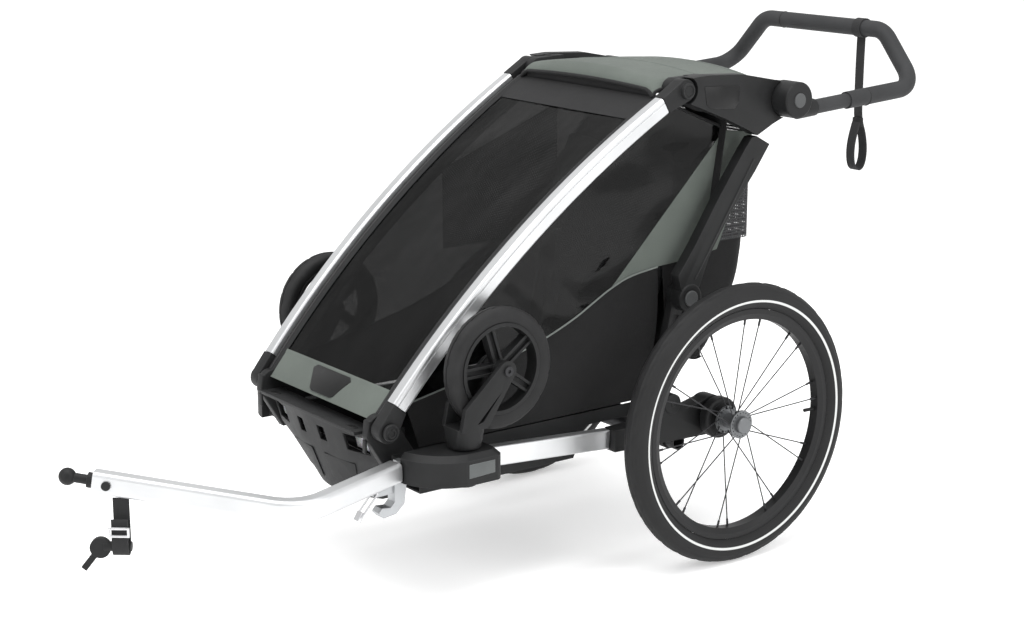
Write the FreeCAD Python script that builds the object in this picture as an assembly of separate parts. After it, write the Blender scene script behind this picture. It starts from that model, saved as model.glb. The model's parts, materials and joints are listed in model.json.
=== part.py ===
"""Single-seat child bicycle trailer with a folding frame, a hitch arm and two stowed stroller wheels.

Millimetres, +Z up. The trailer faces -Y, so +X is the child's left. Lengths along Y are worked out from the
wheel axle and shifted at export, so that the origin is on the ground under the middle of the whole trailer.
Each node is one file in parts/. A node named in the plural holds a left and a right piece, or several alike.
"""
import FreeCAD, Part
import math
import os

V = FreeCAD.Vector

# ---- driving dimensions ----
WHEEL_R = 250.0          # 20 inch wheel with a 47 mm tyre
TYRE_W = 47.0
WHEEL_X = 301.5          # wheel plane from the centre line, 650 mm over the tyres
RIM_OUT = 205.0
RIM_IN = 187.0
SPOKE_PAIRS = 10
SPOKE_R = 1.1
CASING = 3.5             # thickness of the tyre's casing
BEAD_ANGLE = 31.0        # half the tyre's opening, seen from the casing's centre
AXLE = (0.0, 250.0)      # every (y, z) pair below is measured from the axle's y

FOOT_PIVOT = (-660.0, 332.0)     # windscreen pillar on the chassis
HEAD_PIVOT = (-68.0, 828.0)      # pillar on the top plate
KNEE = (-50.0, 467.0)            # rear upright meets the knee link
HIP_PIVOT = (-92.0, 285.0)       # knee link on the chassis
HANDLE_PIVOT = (160.0, 798.0)

PILLAR_LOW = (-638.0, 367.0)
PILLAR_TOP = (-112.0, 806.0)
PILLAR_BOW = 30.0
FOOT_X = (182.0, 206.0)          # inner and outer face of a pillar at its foot
HEAD_X = (202.0, 226.0)          # and at its head, so the windscreen widens upwards
PILLAR_DEEP = 30.0
LUG_X = (161.0, 177.5)           # front lugs, inside the pillars' feet
INNER_X = (183.0, 199.5)         # links and the plates' lugs stand inside the pillars' heads
PLATE_X = (204.0, 229.0)

RAIL_X = (200.0, 221.0)
RAIL_TALL = 34.0
RAIL_FRONT = (-622.0, 268.0)
RAIL_REAR = (-222.0, 241.0)

CASTER_X = 257.5
CASTER_HUB = (-486.0, 421.0)
CASTER_R = 100.0
CASTER_TYRE_W = 31.0
STEM = (-552.0, 300.0)           # y of the stem, and z of the wing's top round it
STEM_R = 9.0
WING_X = 300.0
WING_LOW = 250.0

GRIP_X = 245.0
GRIP_CORNER = (474.0, 797.0)
GRIP_TOP = (479.0, 893.0)
GRIP_TOP_X = 158.0
HANDLE_R = 13.0
FOAM_R = 15.5

CABIN_X = 176.0                  # half the room inside
SKIN = 3.0

BALL_R = 13.5
BALL = (50.0, -1135.0, 312.0)
ARM_BEND = (268.0, -861.0, 257.0)
ARM_END = (214.0, -655.0, 268.0)
NECK = 40.0                      # from the ball's centre to the arm's nose
ARM_W = 30.0
ARM_T = 34.0
ARM_BEND_R = 95.0
ARM_BOLT = 22.0                  # from the arm's nose back to its cross bolt
ARM_BOLT_R = 4.5

FRONT_REACH = BALL[1] - BALL_R
REAR_REACH = GRIP_TOP[0] + FOAM_R
SHIFT_Y = -(FRONT_REACH + REAR_REACH) / 2

RUN = 0.08                       # radial play of a turning fit
GAP = 0.5                        # side play between pieces that turn


# ---- small helpers ----
def p(x, yz):
    """A point from x and a (y, z) pair."""
    return V(x, yz[0], yz[1])


def along_x(yz, radius, x0, x1):
    """A round bar across the trailer."""
    return Part.makeCylinder(radius, x1 - x0, p(x0, yz), V(1, 0, 0))


def bar(a, b, radius):
    """A round bar from point a to point b."""
    return Part.makeCylinder(radius, (b - a).Length, a, b - a)


def side_plate(points, x0, x1):
    """A flat plate with this (y, z) outline, from x0 to x1."""
    wire = Part.makePolygon([p(x0, q) for q in points + points[:1]])
    return Part.Face(wire).extrude(V(x1 - x0, 0, 0))


def box(x0, x1, y0, y1, z0, z1):
    return Part.makeBox(x1 - x0, y1 - y0, z1 - z0, V(x0, y0, z0))


def rounded(shape, radius, pick):
    """The shape with the edges that pick(edge) chooses rounded."""
    edges = [e for e in shape.Edges if pick(e)]
    return shape.makeFillet(radius, edges)


def runs_along(edge, axis):
    """True if a straight edge lies along this axis."""
    if len(edge.Vertexes) != 2 or not isinstance(edge.Curve, Part.Line):
        return False
    d = edge.Vertexes[1].Point - edge.Vertexes[0].Point
    return d.Length > 1e-6 and abs(d.normalize().dot(axis)) > 0.999


def mirrored(shape):
    return shape.mirror(V(0, 0, 0), V(1, 0, 0))


def both(shape):
    """The piece and its twin on the other side, as two solids."""
    return Part.Compound([shape, mirrored(shape)])


def polar(centre, angle, radius):
    """A (y, z) pair at this angle and radius from a centre."""
    a = math.radians(angle)
    return (centre[0] + radius * math.cos(a), centre[1] + radius * math.sin(a))


def route(points, radii):
    """A wire of straight runs joined by arcs of these radii, one for each inner point."""
    edges = []
    start = points[0]
    for before, here, after, r in zip(points, points[1:], points[2:], radii):
        u = (before - here).normalize()
        v = (after - here).normalize()
        half = u.getAngle(v) / 2
        cut = r / math.tan(half)
        a = here + u * cut
        b = here + v * cut
        middle = (u + v).normalize()
        top = here + middle * (r / math.sin(half) - r)
        if (a - start).Length > 1e-6:
            edges.append(Part.LineSegment(start, a).toShape())
        edges.append(Part.Arc(a, top, b).toShape())
        start = b
    edges.append(Part.LineSegment(start, points[-1]).toShape())
    return Part.Wire(edges)


def swept(wire, section):
    """A solid of this closed section along the wire."""
    return wire.makePipeShell([section], True, False)


def ring_section(centre, direction, radius):
    return Part.Wire([Part.makeCircle(radius, centre, direction)])


def round_tube(points, radii, radius):
    wire = route(points, radii)
    return swept(wire, ring_section(points[0], points[1] - points[0], radius))


# ---- the pillars' arc ----
def arc_centre(low, top, bow):
    """Centre and radius of the arc that rises by bow over the chord from low to top."""
    dy, dz = top[0] - low[0], top[1] - low[1]
    chord = math.hypot(dy, dz)
    radius = (chord * chord / 4 + bow * bow) / (2 * bow)
    up = (-dz / chord, dy / chord)
    mid = ((low[0] + top[0]) / 2, (low[1] + top[1]) / 2)
    return (mid[0] - (radius - bow) * up[0], mid[1] - (radius - bow) * up[1]), radius


ARC, ARC_R = arc_centre(PILLAR_LOW, PILLAR_TOP, PILLAR_BOW)


def arc_angle(yz):
    return math.degrees(math.atan2(yz[1] - ARC[1], yz[0] - ARC[0]))


LOW_ANGLE = arc_angle(PILLAR_LOW)
TOP_ANGLE = arc_angle(PILLAR_TOP)


def arc_bar(x0, x1, r0, r1, a0, a1, corner=0.0):
    """A bar of rectangular section that follows the pillars' arc, from angle a0 to a1."""
    corners = [p(x0, polar(ARC, a0, r0)), p(x1, polar(ARC, a0, r0)),
               p(x1, polar(ARC, a0, r1)), p(x0, polar(ARC, a0, r1))]
    face = Part.Face(Part.makePolygon(corners + corners[:1]))
    solid = face.revolve(p(0, ARC), V(1, 0, 0), a1 - a0)
    if solid.Volume < 0:
        solid = solid.reversed()
    if corner:
        solid = rounded(solid, corner, lambda e: isinstance(e.Curve, Part.Circle))
    return solid


# ---- big wheels ----
def tyre():
    """Round tyre casing, open between its two beads at the rim."""
    outer_r = TYRE_W / 2
    inner_r = outer_r - CASING
    middle = WHEEL_R - outer_r

    def at(angle, r):
        a = math.radians(angle)
        return V(WHEEL_X + r * math.sin(a), AXLE[0], AXLE[1] + middle - r * math.cos(a))

    outside = Part.Arc(at(BEAD_ANGLE, outer_r), at(180, outer_r), at(360 - BEAD_ANGLE, outer_r)).toShape()
    inside = Part.Arc(at(360 - BEAD_ANGLE, inner_r), at(180, inner_r), at(BEAD_ANGLE, inner_r)).toShape()
    left = Part.makeLine(at(360 - BEAD_ANGLE, outer_r), at(360 - BEAD_ANGLE, inner_r))
    right = Part.makeLine(at(BEAD_ANGLE, inner_r), at(BEAD_ANGLE, outer_r))
    section = Part.Face(Part.Wire([outside, left, inside, right]))
    return section.revolve(p(WHEEL_X, AXLE), V(1, 0, 0), 360)


def rim():
    """Box-section rim with a well for the tyre's beads, and the valve through it."""
    half = 13.0
    outline = [(RIM_IN, -9), (RIM_IN, 9), (RIM_OUT - 8, half), (RIM_OUT + 1, half), (RIM_OUT + 1, half - 2.5),
               (RIM_OUT - 6, half - 3.5), (RIM_OUT - 6, -half + 3.5), (RIM_OUT + 1, -half + 2.5),
               (RIM_OUT + 1, -half), (RIM_OUT - 8, -half)]
    points = [V(WHEEL_X + dx, AXLE[0], AXLE[1] + r) for r, dx in outline]
    ring = Part.Face(Part.makePolygon(points + points[:1])).revolve(p(WHEEL_X, AXLE), V(1, 0, 0), 360)
    valve_at = math.radians(-2.0)
    d = V(0, math.cos(valve_at), math.sin(valve_at))
    a = p(WHEEL_X, AXLE) + d * (RIM_IN - 24)
    b = p(WHEEL_X, AXLE) + d * (RIM_IN - 0.2)
    valve = bar(a, b, 3.2)
    return Part.Compound([ring, valve])


HUB_INNER = 274.0
HUB_OUTER = 310.0
FLANGE_R = 25.0
AXLE_R = 7.5


def hub():
    """Spool with two drilled flanges and a domed end cap."""
    spool = along_x(AXLE, 13.5, HUB_INNER, HUB_OUTER)
    inner = along_x(AXLE, FLANGE_R, HUB_INNER - 2, HUB_INNER + 2)
    outer = along_x(AXLE, FLANGE_R, HUB_OUTER - 2, HUB_OUTER + 2)
    cap = along_x(AXLE, 15.0, HUB_OUTER + 2, HUB_OUTER + 11)
    cap = rounded(cap, 3.0, lambda e: e.CenterOfMass.x > HUB_OUTER + 10.9)
    solid = spool.fuse(inner).fuse(outer).fuse(cap)
    for i in range(2 * SPOKE_PAIRS):
        hole = polar(AXLE, (i + 0.5) * 180 / SPOKE_PAIRS, FLANGE_R - 4)
        solid = solid.cut(along_x(hole, 1.2, HUB_INNER - 3, HUB_OUTER + 3))
    return solid.cut(along_x(AXLE, AXLE_R + RUN, HUB_INNER - 3, HUB_OUTER - 6)).removeSplitter()


def spokes():
    """Pairs of spokes, one from each flange, that lean towards each other at the rim."""
    made = []
    for i in range(SPOKE_PAIRS):
        middle = i * 360 / SPOKE_PAIRS + 9
        for flange, lean in ((HUB_INNER + 3.2, -1), (HUB_OUTER - 3.2, 1)):
            a = p(flange, polar(AXLE, middle + lean * 22, FLANGE_R - 4))
            b = p(WHEEL_X + lean * 3, polar(AXLE, middle - lean * 4.6, RIM_IN - 0.3))
            d = (b - a).normalize()
            made.append(bar(a, b, SPOKE_R).fuse(bar(b - d * 12, b, 2.0)))
    return Part.Compound(made)


# ---- chassis ----
def rail_angle():
    return math.atan2(RAIL_REAR[1] - RAIL_FRONT[1], RAIL_REAR[0] - RAIL_FRONT[0])


def side_rail():
    """Rectangular aluminium tube along the side."""
    length = math.hypot(RAIL_REAR[0] - RAIL_FRONT[0], RAIL_REAR[1] - RAIL_FRONT[1])
    wide = RAIL_X[1] - RAIL_X[0]
    outer = Part.makeBox(wide, length, RAIL_TALL, V(RAIL_X[0], 0, -RAIL_TALL / 2))
    outer = rounded(outer, 4.0, lambda e: runs_along(e, V(0, 1, 0)))
    wall = 2.2
    inner = Part.makeBox(wide - 2 * wall, length + 2, RAIL_TALL - 2 * wall,
                         V(RAIL_X[0] + wall, -1, wall - RAIL_TALL / 2))
    solid = outer.cut(inner)
    solid.rotate(V(0, 0, 0), V(1, 0, 0), math.degrees(rail_angle()))
    solid.translate(p(0, RAIL_FRONT))
    return solid


FRONT_TUBE = (RAIL_FRONT[0] + 6, RAIL_FRONT[1] - 2)
BEAM = (-50.0, 200.0)


def tube_between(yz, radius, wall, half):
    return along_x(yz, radius, -half, half).cut(along_x(yz, radius - wall, -half - 1, half + 1))


def cross_tubes():
    """Front tube between the lugs, and the rear beam between the hip brackets, below the axle's line."""
    return Part.Compound([tube_between(FRONT_TUBE, 11.0, 2.0, LUG_X[0]),
                          tube_between(BEAM, 14.0, 2.5, RAIL_X[0] + 4.5)])


def front_lug():
    """Moulded lug from the rail's front end up to the pillar's foot, with its pin and round cap."""
    y, z = RAIL_FRONT
    outline = [(y - 20, z - 20), (y + 26, z - 20), (y + 28, z + 14), (-634, 346), (-680, 346), (-684, 318)]
    web = side_plate(outline, *LUG_X).fuse(along_x(FOOT_PIVOT, 21.0, *LUG_X))
    pin = along_x(FOOT_PIVOT, 8.0, LUG_X[1] - 1, FOOT_X[1] + 2)
    cap = along_x(FOOT_PIVOT, 13.5, FOOT_X[1] + GAP, FOOT_X[1] + 5)
    cap = rounded(cap, 1.5, lambda e: e.CenterOfMass.x > FOOT_X[1] + 4.9)
    spacer = box(LUG_X[1] - 0.5, RAIL_X[1] - 1, y - 16, y - 1.5, z - 14, z + 14)
    return web.fuse(pin).fuse(cap).fuse(spacer).removeSplitter()


CARRIER_R = 28.0


def hip_bracket():
    """Black casting that takes the rail's rear end, the knee link's pin and the wheel's carrier."""
    x0, x1 = RAIL_X[0] + 4.5, 234.0
    y, z = RAIL_REAR
    outline = [(y + 1.6, z - 20), (-70, z - 24), (-20, AXLE[1] - 32), (0, AXLE[1] - 34), (30, AXLE[1]),
               (0, AXLE[1] + 34), (-60, z + 30), (-74, HIP_PIVOT[1]), (-110, HIP_PIVOT[1]), (-128, z + 20),
               (y + 1.6, z + 19)]
    plate = side_plate(outline, x0, x1)
    boss = along_x(HIP_PIVOT, 18.0, x0, x1 + 2)
    ring = along_x(AXLE, 35.0, x0, x1)
    body = plate.fuse(boss).fuse(ring).cut(along_x(AXLE, CARRIER_R + 0.05, x0 - 1, x1 + 1))
    screw = along_x(HIP_PIVOT, 5.0, x1 + 1, x1 + 4)
    pin = along_x(HIP_PIVOT, 7.0, INNER_X[0], x0 + 1)
    return body.fuse(pin).fuse(screw).removeSplitter()


def hub_carrier():
    """Black cylinder in the hip bracket, with the stub axle that the wheel turns on."""
    body = along_x(AXLE, CARRIER_R, RAIL_X[0] + 3, 245.0)
    body = rounded(body, 3.0, lambda e: e.CenterOfMass.x < RAIL_X[0] + 4)
    return body.fuse(along_x(AXLE, AXLE_R, 244.0, HUB_OUTER - 7))


def brake_drum():
    """Drum and its dust shield, inboard of the hub."""
    shield = along_x(AXLE, 37.0, 245.0, 263.0)
    shield = rounded(shield, 5.0, lambda e: e.CenterOfMass.x > 262)
    dish = along_x(AXLE, 27.5, 258.0, 264.0)
    return shield.cut(dish).cut(along_x(AXLE, AXLE_R + RUN, 244.0, 264.0))


BRAKE_PIVOT = (-20.0, 197.0)
BRAKE_PIN_R = 4.0
BRAKE_X = (128.0, 172.0)


def brake_pedal():
    """Foot pedal of the parking brake, on the left behind the rear beam."""
    outline = [(-6, 205), (30, 211), (96, 206), (98, 192), (60, 188), (-6, 190)]
    blade = side_plate(outline, *BRAKE_X)
    blade = rounded(blade, 2.5, lambda e: runs_along(e, V(1, 0, 0)))
    eye = along_x(BRAKE_PIVOT, 9.0, *BRAKE_X)
    web = side_plate([(-22, 205), (0, 205), (0, 190), (-22, 189)], *BRAKE_X)
    return blade.fuse(eye).fuse(web).cut(along_x(BRAKE_PIVOT, BRAKE_PIN_R + RUN, 120, 180)).removeSplitter()


def brake_mount():
    """Saddle on the rear beam with two ears that hold the brake pedal's pin."""
    y, z = BEAM
    body = along_x(BEAM, 17.0, BRAKE_X[0] - 9, BRAKE_X[1] + 9)
    body = body.fuse(side_plate([(y, z - 12), (-20, 188), (-12, 197), (-20, 206), (y, z + 12)],
                                BRAKE_X[0] - 9, BRAKE_X[1] + 9))
    body = body.cut(along_x(BRAKE_PIVOT, 10.5, BRAKE_X[0] - GAP, BRAKE_X[1] + GAP))
    body = body.cut(box(BRAKE_X[0] - GAP, BRAKE_X[1] + GAP, -32, 20, 170, 230))
    pin = along_x(BRAKE_PIVOT, BRAKE_PIN_R, BRAKE_X[0] - 6, BRAKE_X[1] + 6)
    return body.fuse(pin).cut(along_x(BEAM, 14.0, 110, 190)).removeSplitter()


def bumper_section(z, half, y_side, y_front, inset):
    """A horizontal outline: a bowed front edge and a straight back."""
    back = -585.0
    a = V(-half + inset, y_side + inset, z)
    b = V(0, y_front + inset, z)
    c = V(half - inset, y_side + inset, z)
    return Part.Wire([Part.Arc(a, b, c).toShape(), Part.makeLine(c, V(half - inset, back, z)),
                      Part.makeLine(V(half - inset, back, z), V(-half + inset, back, z)),
                      Part.makeLine(V(-half + inset, back, z), a)])


BUMPER_HALF = 160.0
BUMPER_LEVELS = ((318.0, BUMPER_HALF, -664.0, -690.0), (262.0, BUMPER_HALF, -646.0, -672.0),
                 (180.0, 100.0, -606.0, -640.0))
BUMPER_WALL = 4.0


def bumper():
    """Moulded front shell: a tall band with openings, and a keel that runs down and back."""
    outer = Part.makeLoft([bumper_section(z, h, s, f, 0) for z, h, s, f in BUMPER_LEVELS], True, True)
    inner_levels = ((BUMPER_LEVELS[0][0] + 1, *BUMPER_LEVELS[0][1:]), BUMPER_LEVELS[1],
                    (BUMPER_LEVELS[2][0] + BUMPER_WALL, *BUMPER_LEVELS[2][1:]))
    sections = [bumper_section(z, h, s, f, BUMPER_WALL) for z, h, s, f in inner_levels]
    inner = Part.makeLoft(sections, True, True)
    shell = outer.cut(inner).cut(box(-172, 172, -600, -580, 184, 330))
    mouths = ((-144, -92, 276, 306), (-42, -22, 278, 304), (22, 42, 278, 304), (92, 144, 276, 306))
    for x0, x1, z0, z1 in mouths:
        shell = shell.cut(box(x0, x1, -700, -630, z0, z1))
    ledge = side_plate([(-690, 318), (-652, 318), (-650, 322.5), (-692, 324)], -150, 150)
    tube_way = along_x(FRONT_TUBE, 11.5, -190, 190)
    return shell.fuse(ledge).cut(tube_way).removeSplitter()


def front_reflectors():
    """White reflector plates behind the bumper's outer openings."""
    plate = side_plate([(-651, 279), (-657, 303), (-653.5, 303), (-647.5, 279)], 96, 138)
    return both(plate)


FLOOR_Z = 205.0
SEAT_Z = 259.0


def floor_pan():
    """Thin moulded floor: a footwell in front and the seat's base behind it."""
    top = [(-583, FLOOR_Z + SKIN), (-268, FLOOR_Z + SKIN), (-240, SEAT_Z + SKIN), (-112, SEAT_Z + SKIN)]
    low = [(-112, SEAT_Z), (-237.5, SEAT_Z), (-265.5, FLOOR_Z), (-583, FLOOR_Z)]
    pan = side_plate(top + low, -CABIN_X, CABIN_X)
    wall = side_plate(low[::-1] + [(-112, 282), (-583, 282)], CABIN_X - SKIN, CABIN_X)
    return pan.fuse(wall).fuse(mirrored(wall)).removeSplitter()


# ---- stroller wheel docks ----
WING_INNER = RAIL_X[1] + 0.3
WING_Y = (-650.0, -504.0)
WING_CROWN = 9.0


def wing_plan(z, inset):
    """The wing's outline seen from above: a bowed nose, a straight side and a round tail."""
    inner = WING_INNER
    front, rear, side = WING_Y[0] + inset, WING_Y[1] - inset, WING_X - inset
    middle = V(inner + 56 - inset, front + 28, z)
    nose = Part.Arc(V(inner, front, z), middle, V(side, front + 74, z)).toShape()
    edge = Part.makeLine(V(side, front + 74, z), V(side, rear - 12, z))
    tail = Part.Arc(V(side, rear - 12, z), V(side - 6, rear - 3, z), V(side - 18, rear, z)).toShape()
    back = Part.makeLine(V(side - 18, rear, z), V(inner, rear, z))
    return Part.Wire([nose, edge, tail, back, Part.makeLine(V(inner, rear, z), V(inner, front, z))])


def wing():
    """Moulded wing outside the rail, with a stroller wheel socket on top for stowing and one below."""
    top = STEM[1]
    body = Part.Face(wing_plan(WING_LOW, 0)).extrude(V(0, 0, top - WING_CROWN - WING_LOW))
    crown = Part.makeLoft([wing_plan(top - WING_CROWN, 0), wing_plan(top, 8)], True, True)
    boss = Part.makeCylinder(21.0, 14, V(CASTER_X, STEM[0], WING_LOW - 12), V(0, 0, 1))
    body = body.fuse(crown).fuse(rounded(boss, 4.0, lambda e: e.CenterOfMass.z < WING_LOW - 11.9))
    hollow = box(WING_INNER + 6, WING_X - 46, -610, -585, WING_LOW - 1, top - 12)
    upper = Part.makeCylinder(STEM_R + RUN, 27, V(CASTER_X, STEM[0], top - 26), V(0, 0, 1))
    lower = Part.makeCylinder(STEM_R, 33, V(CASTER_X, STEM[0], WING_LOW - 13), V(0, 0, 1))
    button_way = Part.makeCylinder(8.0 + RUN, 30, V(CASTER_X, WING_Y[1] - 20, BUTTON_Z), V(0, 1, 0))
    return body.cut(hollow).cut(upper).cut(lower).cut(button_way)


BUTTON_Z = 276.0


def wing_button():
    """Push button in the wing's tail that frees the stroller wheel."""
    button = Part.makeCylinder(8.0, 26, V(CASTER_X, WING_Y[1] - 16, BUTTON_Z), V(0, 1, 0))
    return rounded(button, 2.0, lambda e: e.CenterOfMass.y > WING_Y[1] + 9.5)


def caster_fork():
    """Two-bladed fork of the stowed stroller wheel, with its stem in the wing."""
    hub_y, hub_z = CASTER_HUB
    y, z = STEM
    inner = (229.5, 237.5)
    outer = (277.5, 286.5)
    blade = [(y - 24, z + 34), (y + 26, z + 34), (hub_y + 15, hub_z - 6), (hub_y + 12, hub_z + 11),
             (hub_y - 10, hub_z + 13), (y - 16, z + 70)]
    made = None
    for x0, x1 in (inner, outer):
        piece = side_plate(blade, x0, x1).fuse(along_x(CASTER_HUB, 16.0, x0, x1))
        corners = [(y + 5, z + 42), (y + 18, z + 46), (hub_y - 12, hub_z - 32), (hub_y - 17, hub_z - 36)]
        slot = side_plate(corners, x0 - 1, x1 + 1)
        piece = piece.cut(slot)
        made = piece if made is None else made.fuse(piece)
    crown = Part.makeCone(27.0, 33.0, 34, V(CASTER_X, y, z + 2.5), V(0, 0, 1))
    keep = box(inner[0], outer[1], y - 26, y + 30, z + 1, z + 60)
    crown = crown.common(keep)
    neck = Part.makeCylinder(20.0, 2.3, V(CASTER_X, y, z + 0.3), V(0, 0, 1))
    stem = Part.makeCylinder(STEM_R, 26, V(CASTER_X, y, z - 25), V(0, 0, 1))
    clear = along_x(CASTER_HUB, CASTER_R + 3, CASTER_X - 18.5, CASTER_X + 18.5)
    made = made.fuse(crown).cut(clear).fuse(neck).fuse(stem)
    return made.cut(along_x(CASTER_HUB, 5.05, 225, 290)).removeSplitter()


def caster_tyre():
    """Solid tread ring of the stroller wheel."""
    half = CASTER_TYRE_W / 2
    r0 = CASTER_R - 25
    mid = CASTER_R - 13
    body = Part.makeTorus(mid, 13.0, p(CASTER_X, CASTER_HUB), V(1, 0, 0))
    band = along_x(CASTER_HUB, CASTER_R - 8, CASTER_X - half, CASTER_X + half)
    band = rounded(band, 6.0, lambda e: True)
    return body.fuse(band).cut(along_x(CASTER_HUB, r0, CASTER_X - 20, CASTER_X + 20))


def caster_rim():
    """Moulded wheel: a rim, a hub and five double spokes."""
    r0 = CASTER_R - 25
    rim_band = along_x(CASTER_HUB, r0 - 0.05, CASTER_X - 13, CASTER_X + 13)
    rim_band = rim_band.cut(along_x(CASTER_HUB, r0 - 6, CASTER_X - 14, CASTER_X + 14))
    core = along_x(CASTER_HUB, 15.0, CASTER_X - 19, CASTER_X + 19)
    made = rim_band.fuse(core)
    for i in range(5):
        for shift in (-6.5, 6.5):
            rib = box(CASTER_X - 8, CASTER_X + 8, shift - 2.2, shift + 2.2, 8, r0 - 3)
            rib.rotate(V(CASTER_X, 0, 0), V(1, 0, 0), i * 72 + 18)
            rib.translate(p(0, CASTER_HUB))
            made = made.fuse(rib)
        web = box(CASTER_X - 2, CASTER_X + 2, -6, 6, 8, r0 - 3)
        web.rotate(V(CASTER_X, 0, 0), V(1, 0, 0), i * 72 + 18)
        web.translate(p(0, CASTER_HUB))
        made = made.fuse(web)
    return made.cut(along_x(CASTER_HUB, 5.0 + RUN, CASTER_X - 30, CASTER_X + 30)).removeSplitter()


def caster_bolt():
    """Axle bolt of the stroller wheel with a recessed head."""
    shank = along_x(CASTER_HUB, 5.0, 227.0, 288.0)
    head = along_x(CASTER_HUB, 8.0, 286.6, 290.0)
    nut = along_x(CASTER_HUB, 8.0, 226.0, 229.4)
    return shank.fuse(head).fuse(nut).cut(along_x(CASTER_HUB, 3.0, 287.5, 291.0))


# ---- windscreen frame ----
def leaned(shape):
    """A bar built square to the foot, turned outwards so that it meets the head."""
    dy, dz = PILLAR_TOP[0] - PILLAR_LOW[0], PILLAR_TOP[1] - PILLAR_LOW[1]
    chord = math.hypot(dy, dz)
    turned = shape.copy()
    angle = math.degrees(math.atan2(HEAD_X[0] - FOOT_X[0], chord))
    turned.rotate(p((FOOT_X[0] + FOOT_X[1]) / 2, PILLAR_LOW), V(0, dz / chord, -dy / chord), angle)
    return turned


def pillar():
    """Curved aluminium extrusion with a groove down its outer face."""
    r0, r1 = ARC_R - PILLAR_DEEP / 2, ARC_R + PILLAR_DEEP / 2
    x0, x1 = FOOT_X
    outer = arc_bar(x0, x1, r0, r1, TOP_ANGLE, LOW_ANGLE, 5.0)
    inner = arc_bar(x0 + 2.2, x1 - 2.8, r0 + 2.2, r1 - 2.2, TOP_ANGLE - 0.1, LOW_ANGLE + 0.1)
    groove = arc_bar(x1 - 1.2, x1 + 1, ARC_R + 5.0, ARC_R + 7.0, TOP_ANGLE - 0.1, LOW_ANGLE + 0.1)
    return leaned(outer.cut(inner).cut(groove))


def pillar_end(pivot, x0, x1, end_angle, outward, eye_r):
    """Black moulding at one end of a pillar: an eye on the pivot, and a spigot inside the tube."""
    r0, r1 = ARC_R - PILLAR_DEEP / 2, ARC_R + PILLAR_DEEP / 2
    a = end_angle + outward * 0.03
    inside, outside = polar(ARC, a, r0 + 0.1), polar(ARC, a, r1 - 0.1)
    away = math.radians(end_angle)
    reach = (eye_r - 0.5) * math.cos(away), (eye_r - 0.5) * math.sin(away)
    far = (pivot[0] + reach[0], pivot[1] + reach[1])
    near = (pivot[0] - reach[0], pivot[1] - reach[1])
    body = side_plate([inside, outside, far, near], x0, x1).fuse(along_x(pivot, eye_r, x0, x1))
    spigot_end = end_angle - outward
    spigot = arc_bar(FOOT_X[0] + 3.5, FOOT_X[1] - 4.0, r0 + 3.5, r1 - 3.5, a + outward * 0.3, spigot_end)
    body = body.fuse(leaned(spigot))
    return body.cut(along_x(pivot, 8.0 + RUN, x0 - 1, x1 + 1)).removeSplitter()


def pillar_ends():
    """The moulded foot and head of each pillar."""
    foot = pillar_end(FOOT_PIVOT, *FOOT_X, LOW_ANGLE, 1, 19.5)
    head = pillar_end(HEAD_PIVOT, *HEAD_X, TOP_ANGLE, -1, 19.5)
    cap = along_x(HEAD_PIVOT, 14.0, HEAD_X[1] - 1, HEAD_X[1] + 5)
    cap = rounded(cap, 1.5, lambda e: e.CenterOfMass.x > HEAD_X[1] + 4.9)
    head = head.fuse(cap).fuse(along_x(HEAD_PIVOT, 8.5, HEAD_X[0], HEAD_X[1]))
    return Part.Compound([foot, head, mirrored(foot), mirrored(head)])


def between_pillars(shape, room):
    """The part of a wide sheet that lies between the pillars, which spread upwards."""
    low, top = FOOT_X[0] - room, HEAD_X[0] - room
    y0, y1 = PILLAR_LOW[0], PILLAR_TOP[0]
    slope = (top - low) / (y1 - y0)
    front, rear = low + slope * (-720 - y0), low + slope * (0 - y0)
    corners = [V(-front, -720, 0), V(front, -720, 0), V(rear, 0, 0), V(-rear, 0, 0)]
    wedge = Part.Face(Part.makePolygon(corners + corners[:1])).extrude(V(0, 0, 1000))
    return shape.common(wedge)


BOW_R = 7.0
BOW_DROP = 14.0          # the bow lies this far inside the pillars' middle line


def roof_bow():
    """Bent tube at the top of the windscreen, with a leg down the inside of each pillar."""
    r = ARC_R - BOW_DROP
    crest = TOP_ANGLE - 0.75
    leg_x = HEAD_X[0] - 20
    foot = p(leg_x - 5, polar(ARC, TOP_ANGLE + 3.4, r))
    knee = p(leg_x, polar(ARC, crest + 1.3, r))
    top = p(leg_x - 34, polar(ARC, crest, r))
    left = [foot, knee, top]
    right = [V(-q.x, q.y, q.z) for q in reversed(left)]
    tube = round_tube(left + right, [24, 24, 24, 24], BOW_R)
    tab = arc_bar(leg_x - 8, HEAD_X[0] - 4.0, r - 4, r + 4, TOP_ANGLE + 2.2, TOP_ANGLE + 3.0)
    return tube.fuse(tab).fuse(mirrored(tab)).removeSplitter()


SCREEN_R = ARC_R + 2.0


def front_window():
    """Windscreen sheet between the pillars, from the roof bow down to the hem."""
    sheet = arc_bar(-HEAD_X[1], HEAD_X[1], SCREEN_R, SCREEN_R + 2.0, TOP_ANGLE - 0.4, LOW_ANGLE - 1.5)
    return between_pillars(sheet, 1.0)


def front_hem():
    """Coloured fabric strip across the foot of the windscreen."""
    strip = arc_bar(-HEAD_X[1], HEAD_X[1], SCREEN_R, SCREEN_R + 3.0, LOW_ANGLE - 1.49, LOW_ANGLE + 0.3)
    return between_pillars(strip, 1.0)


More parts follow.
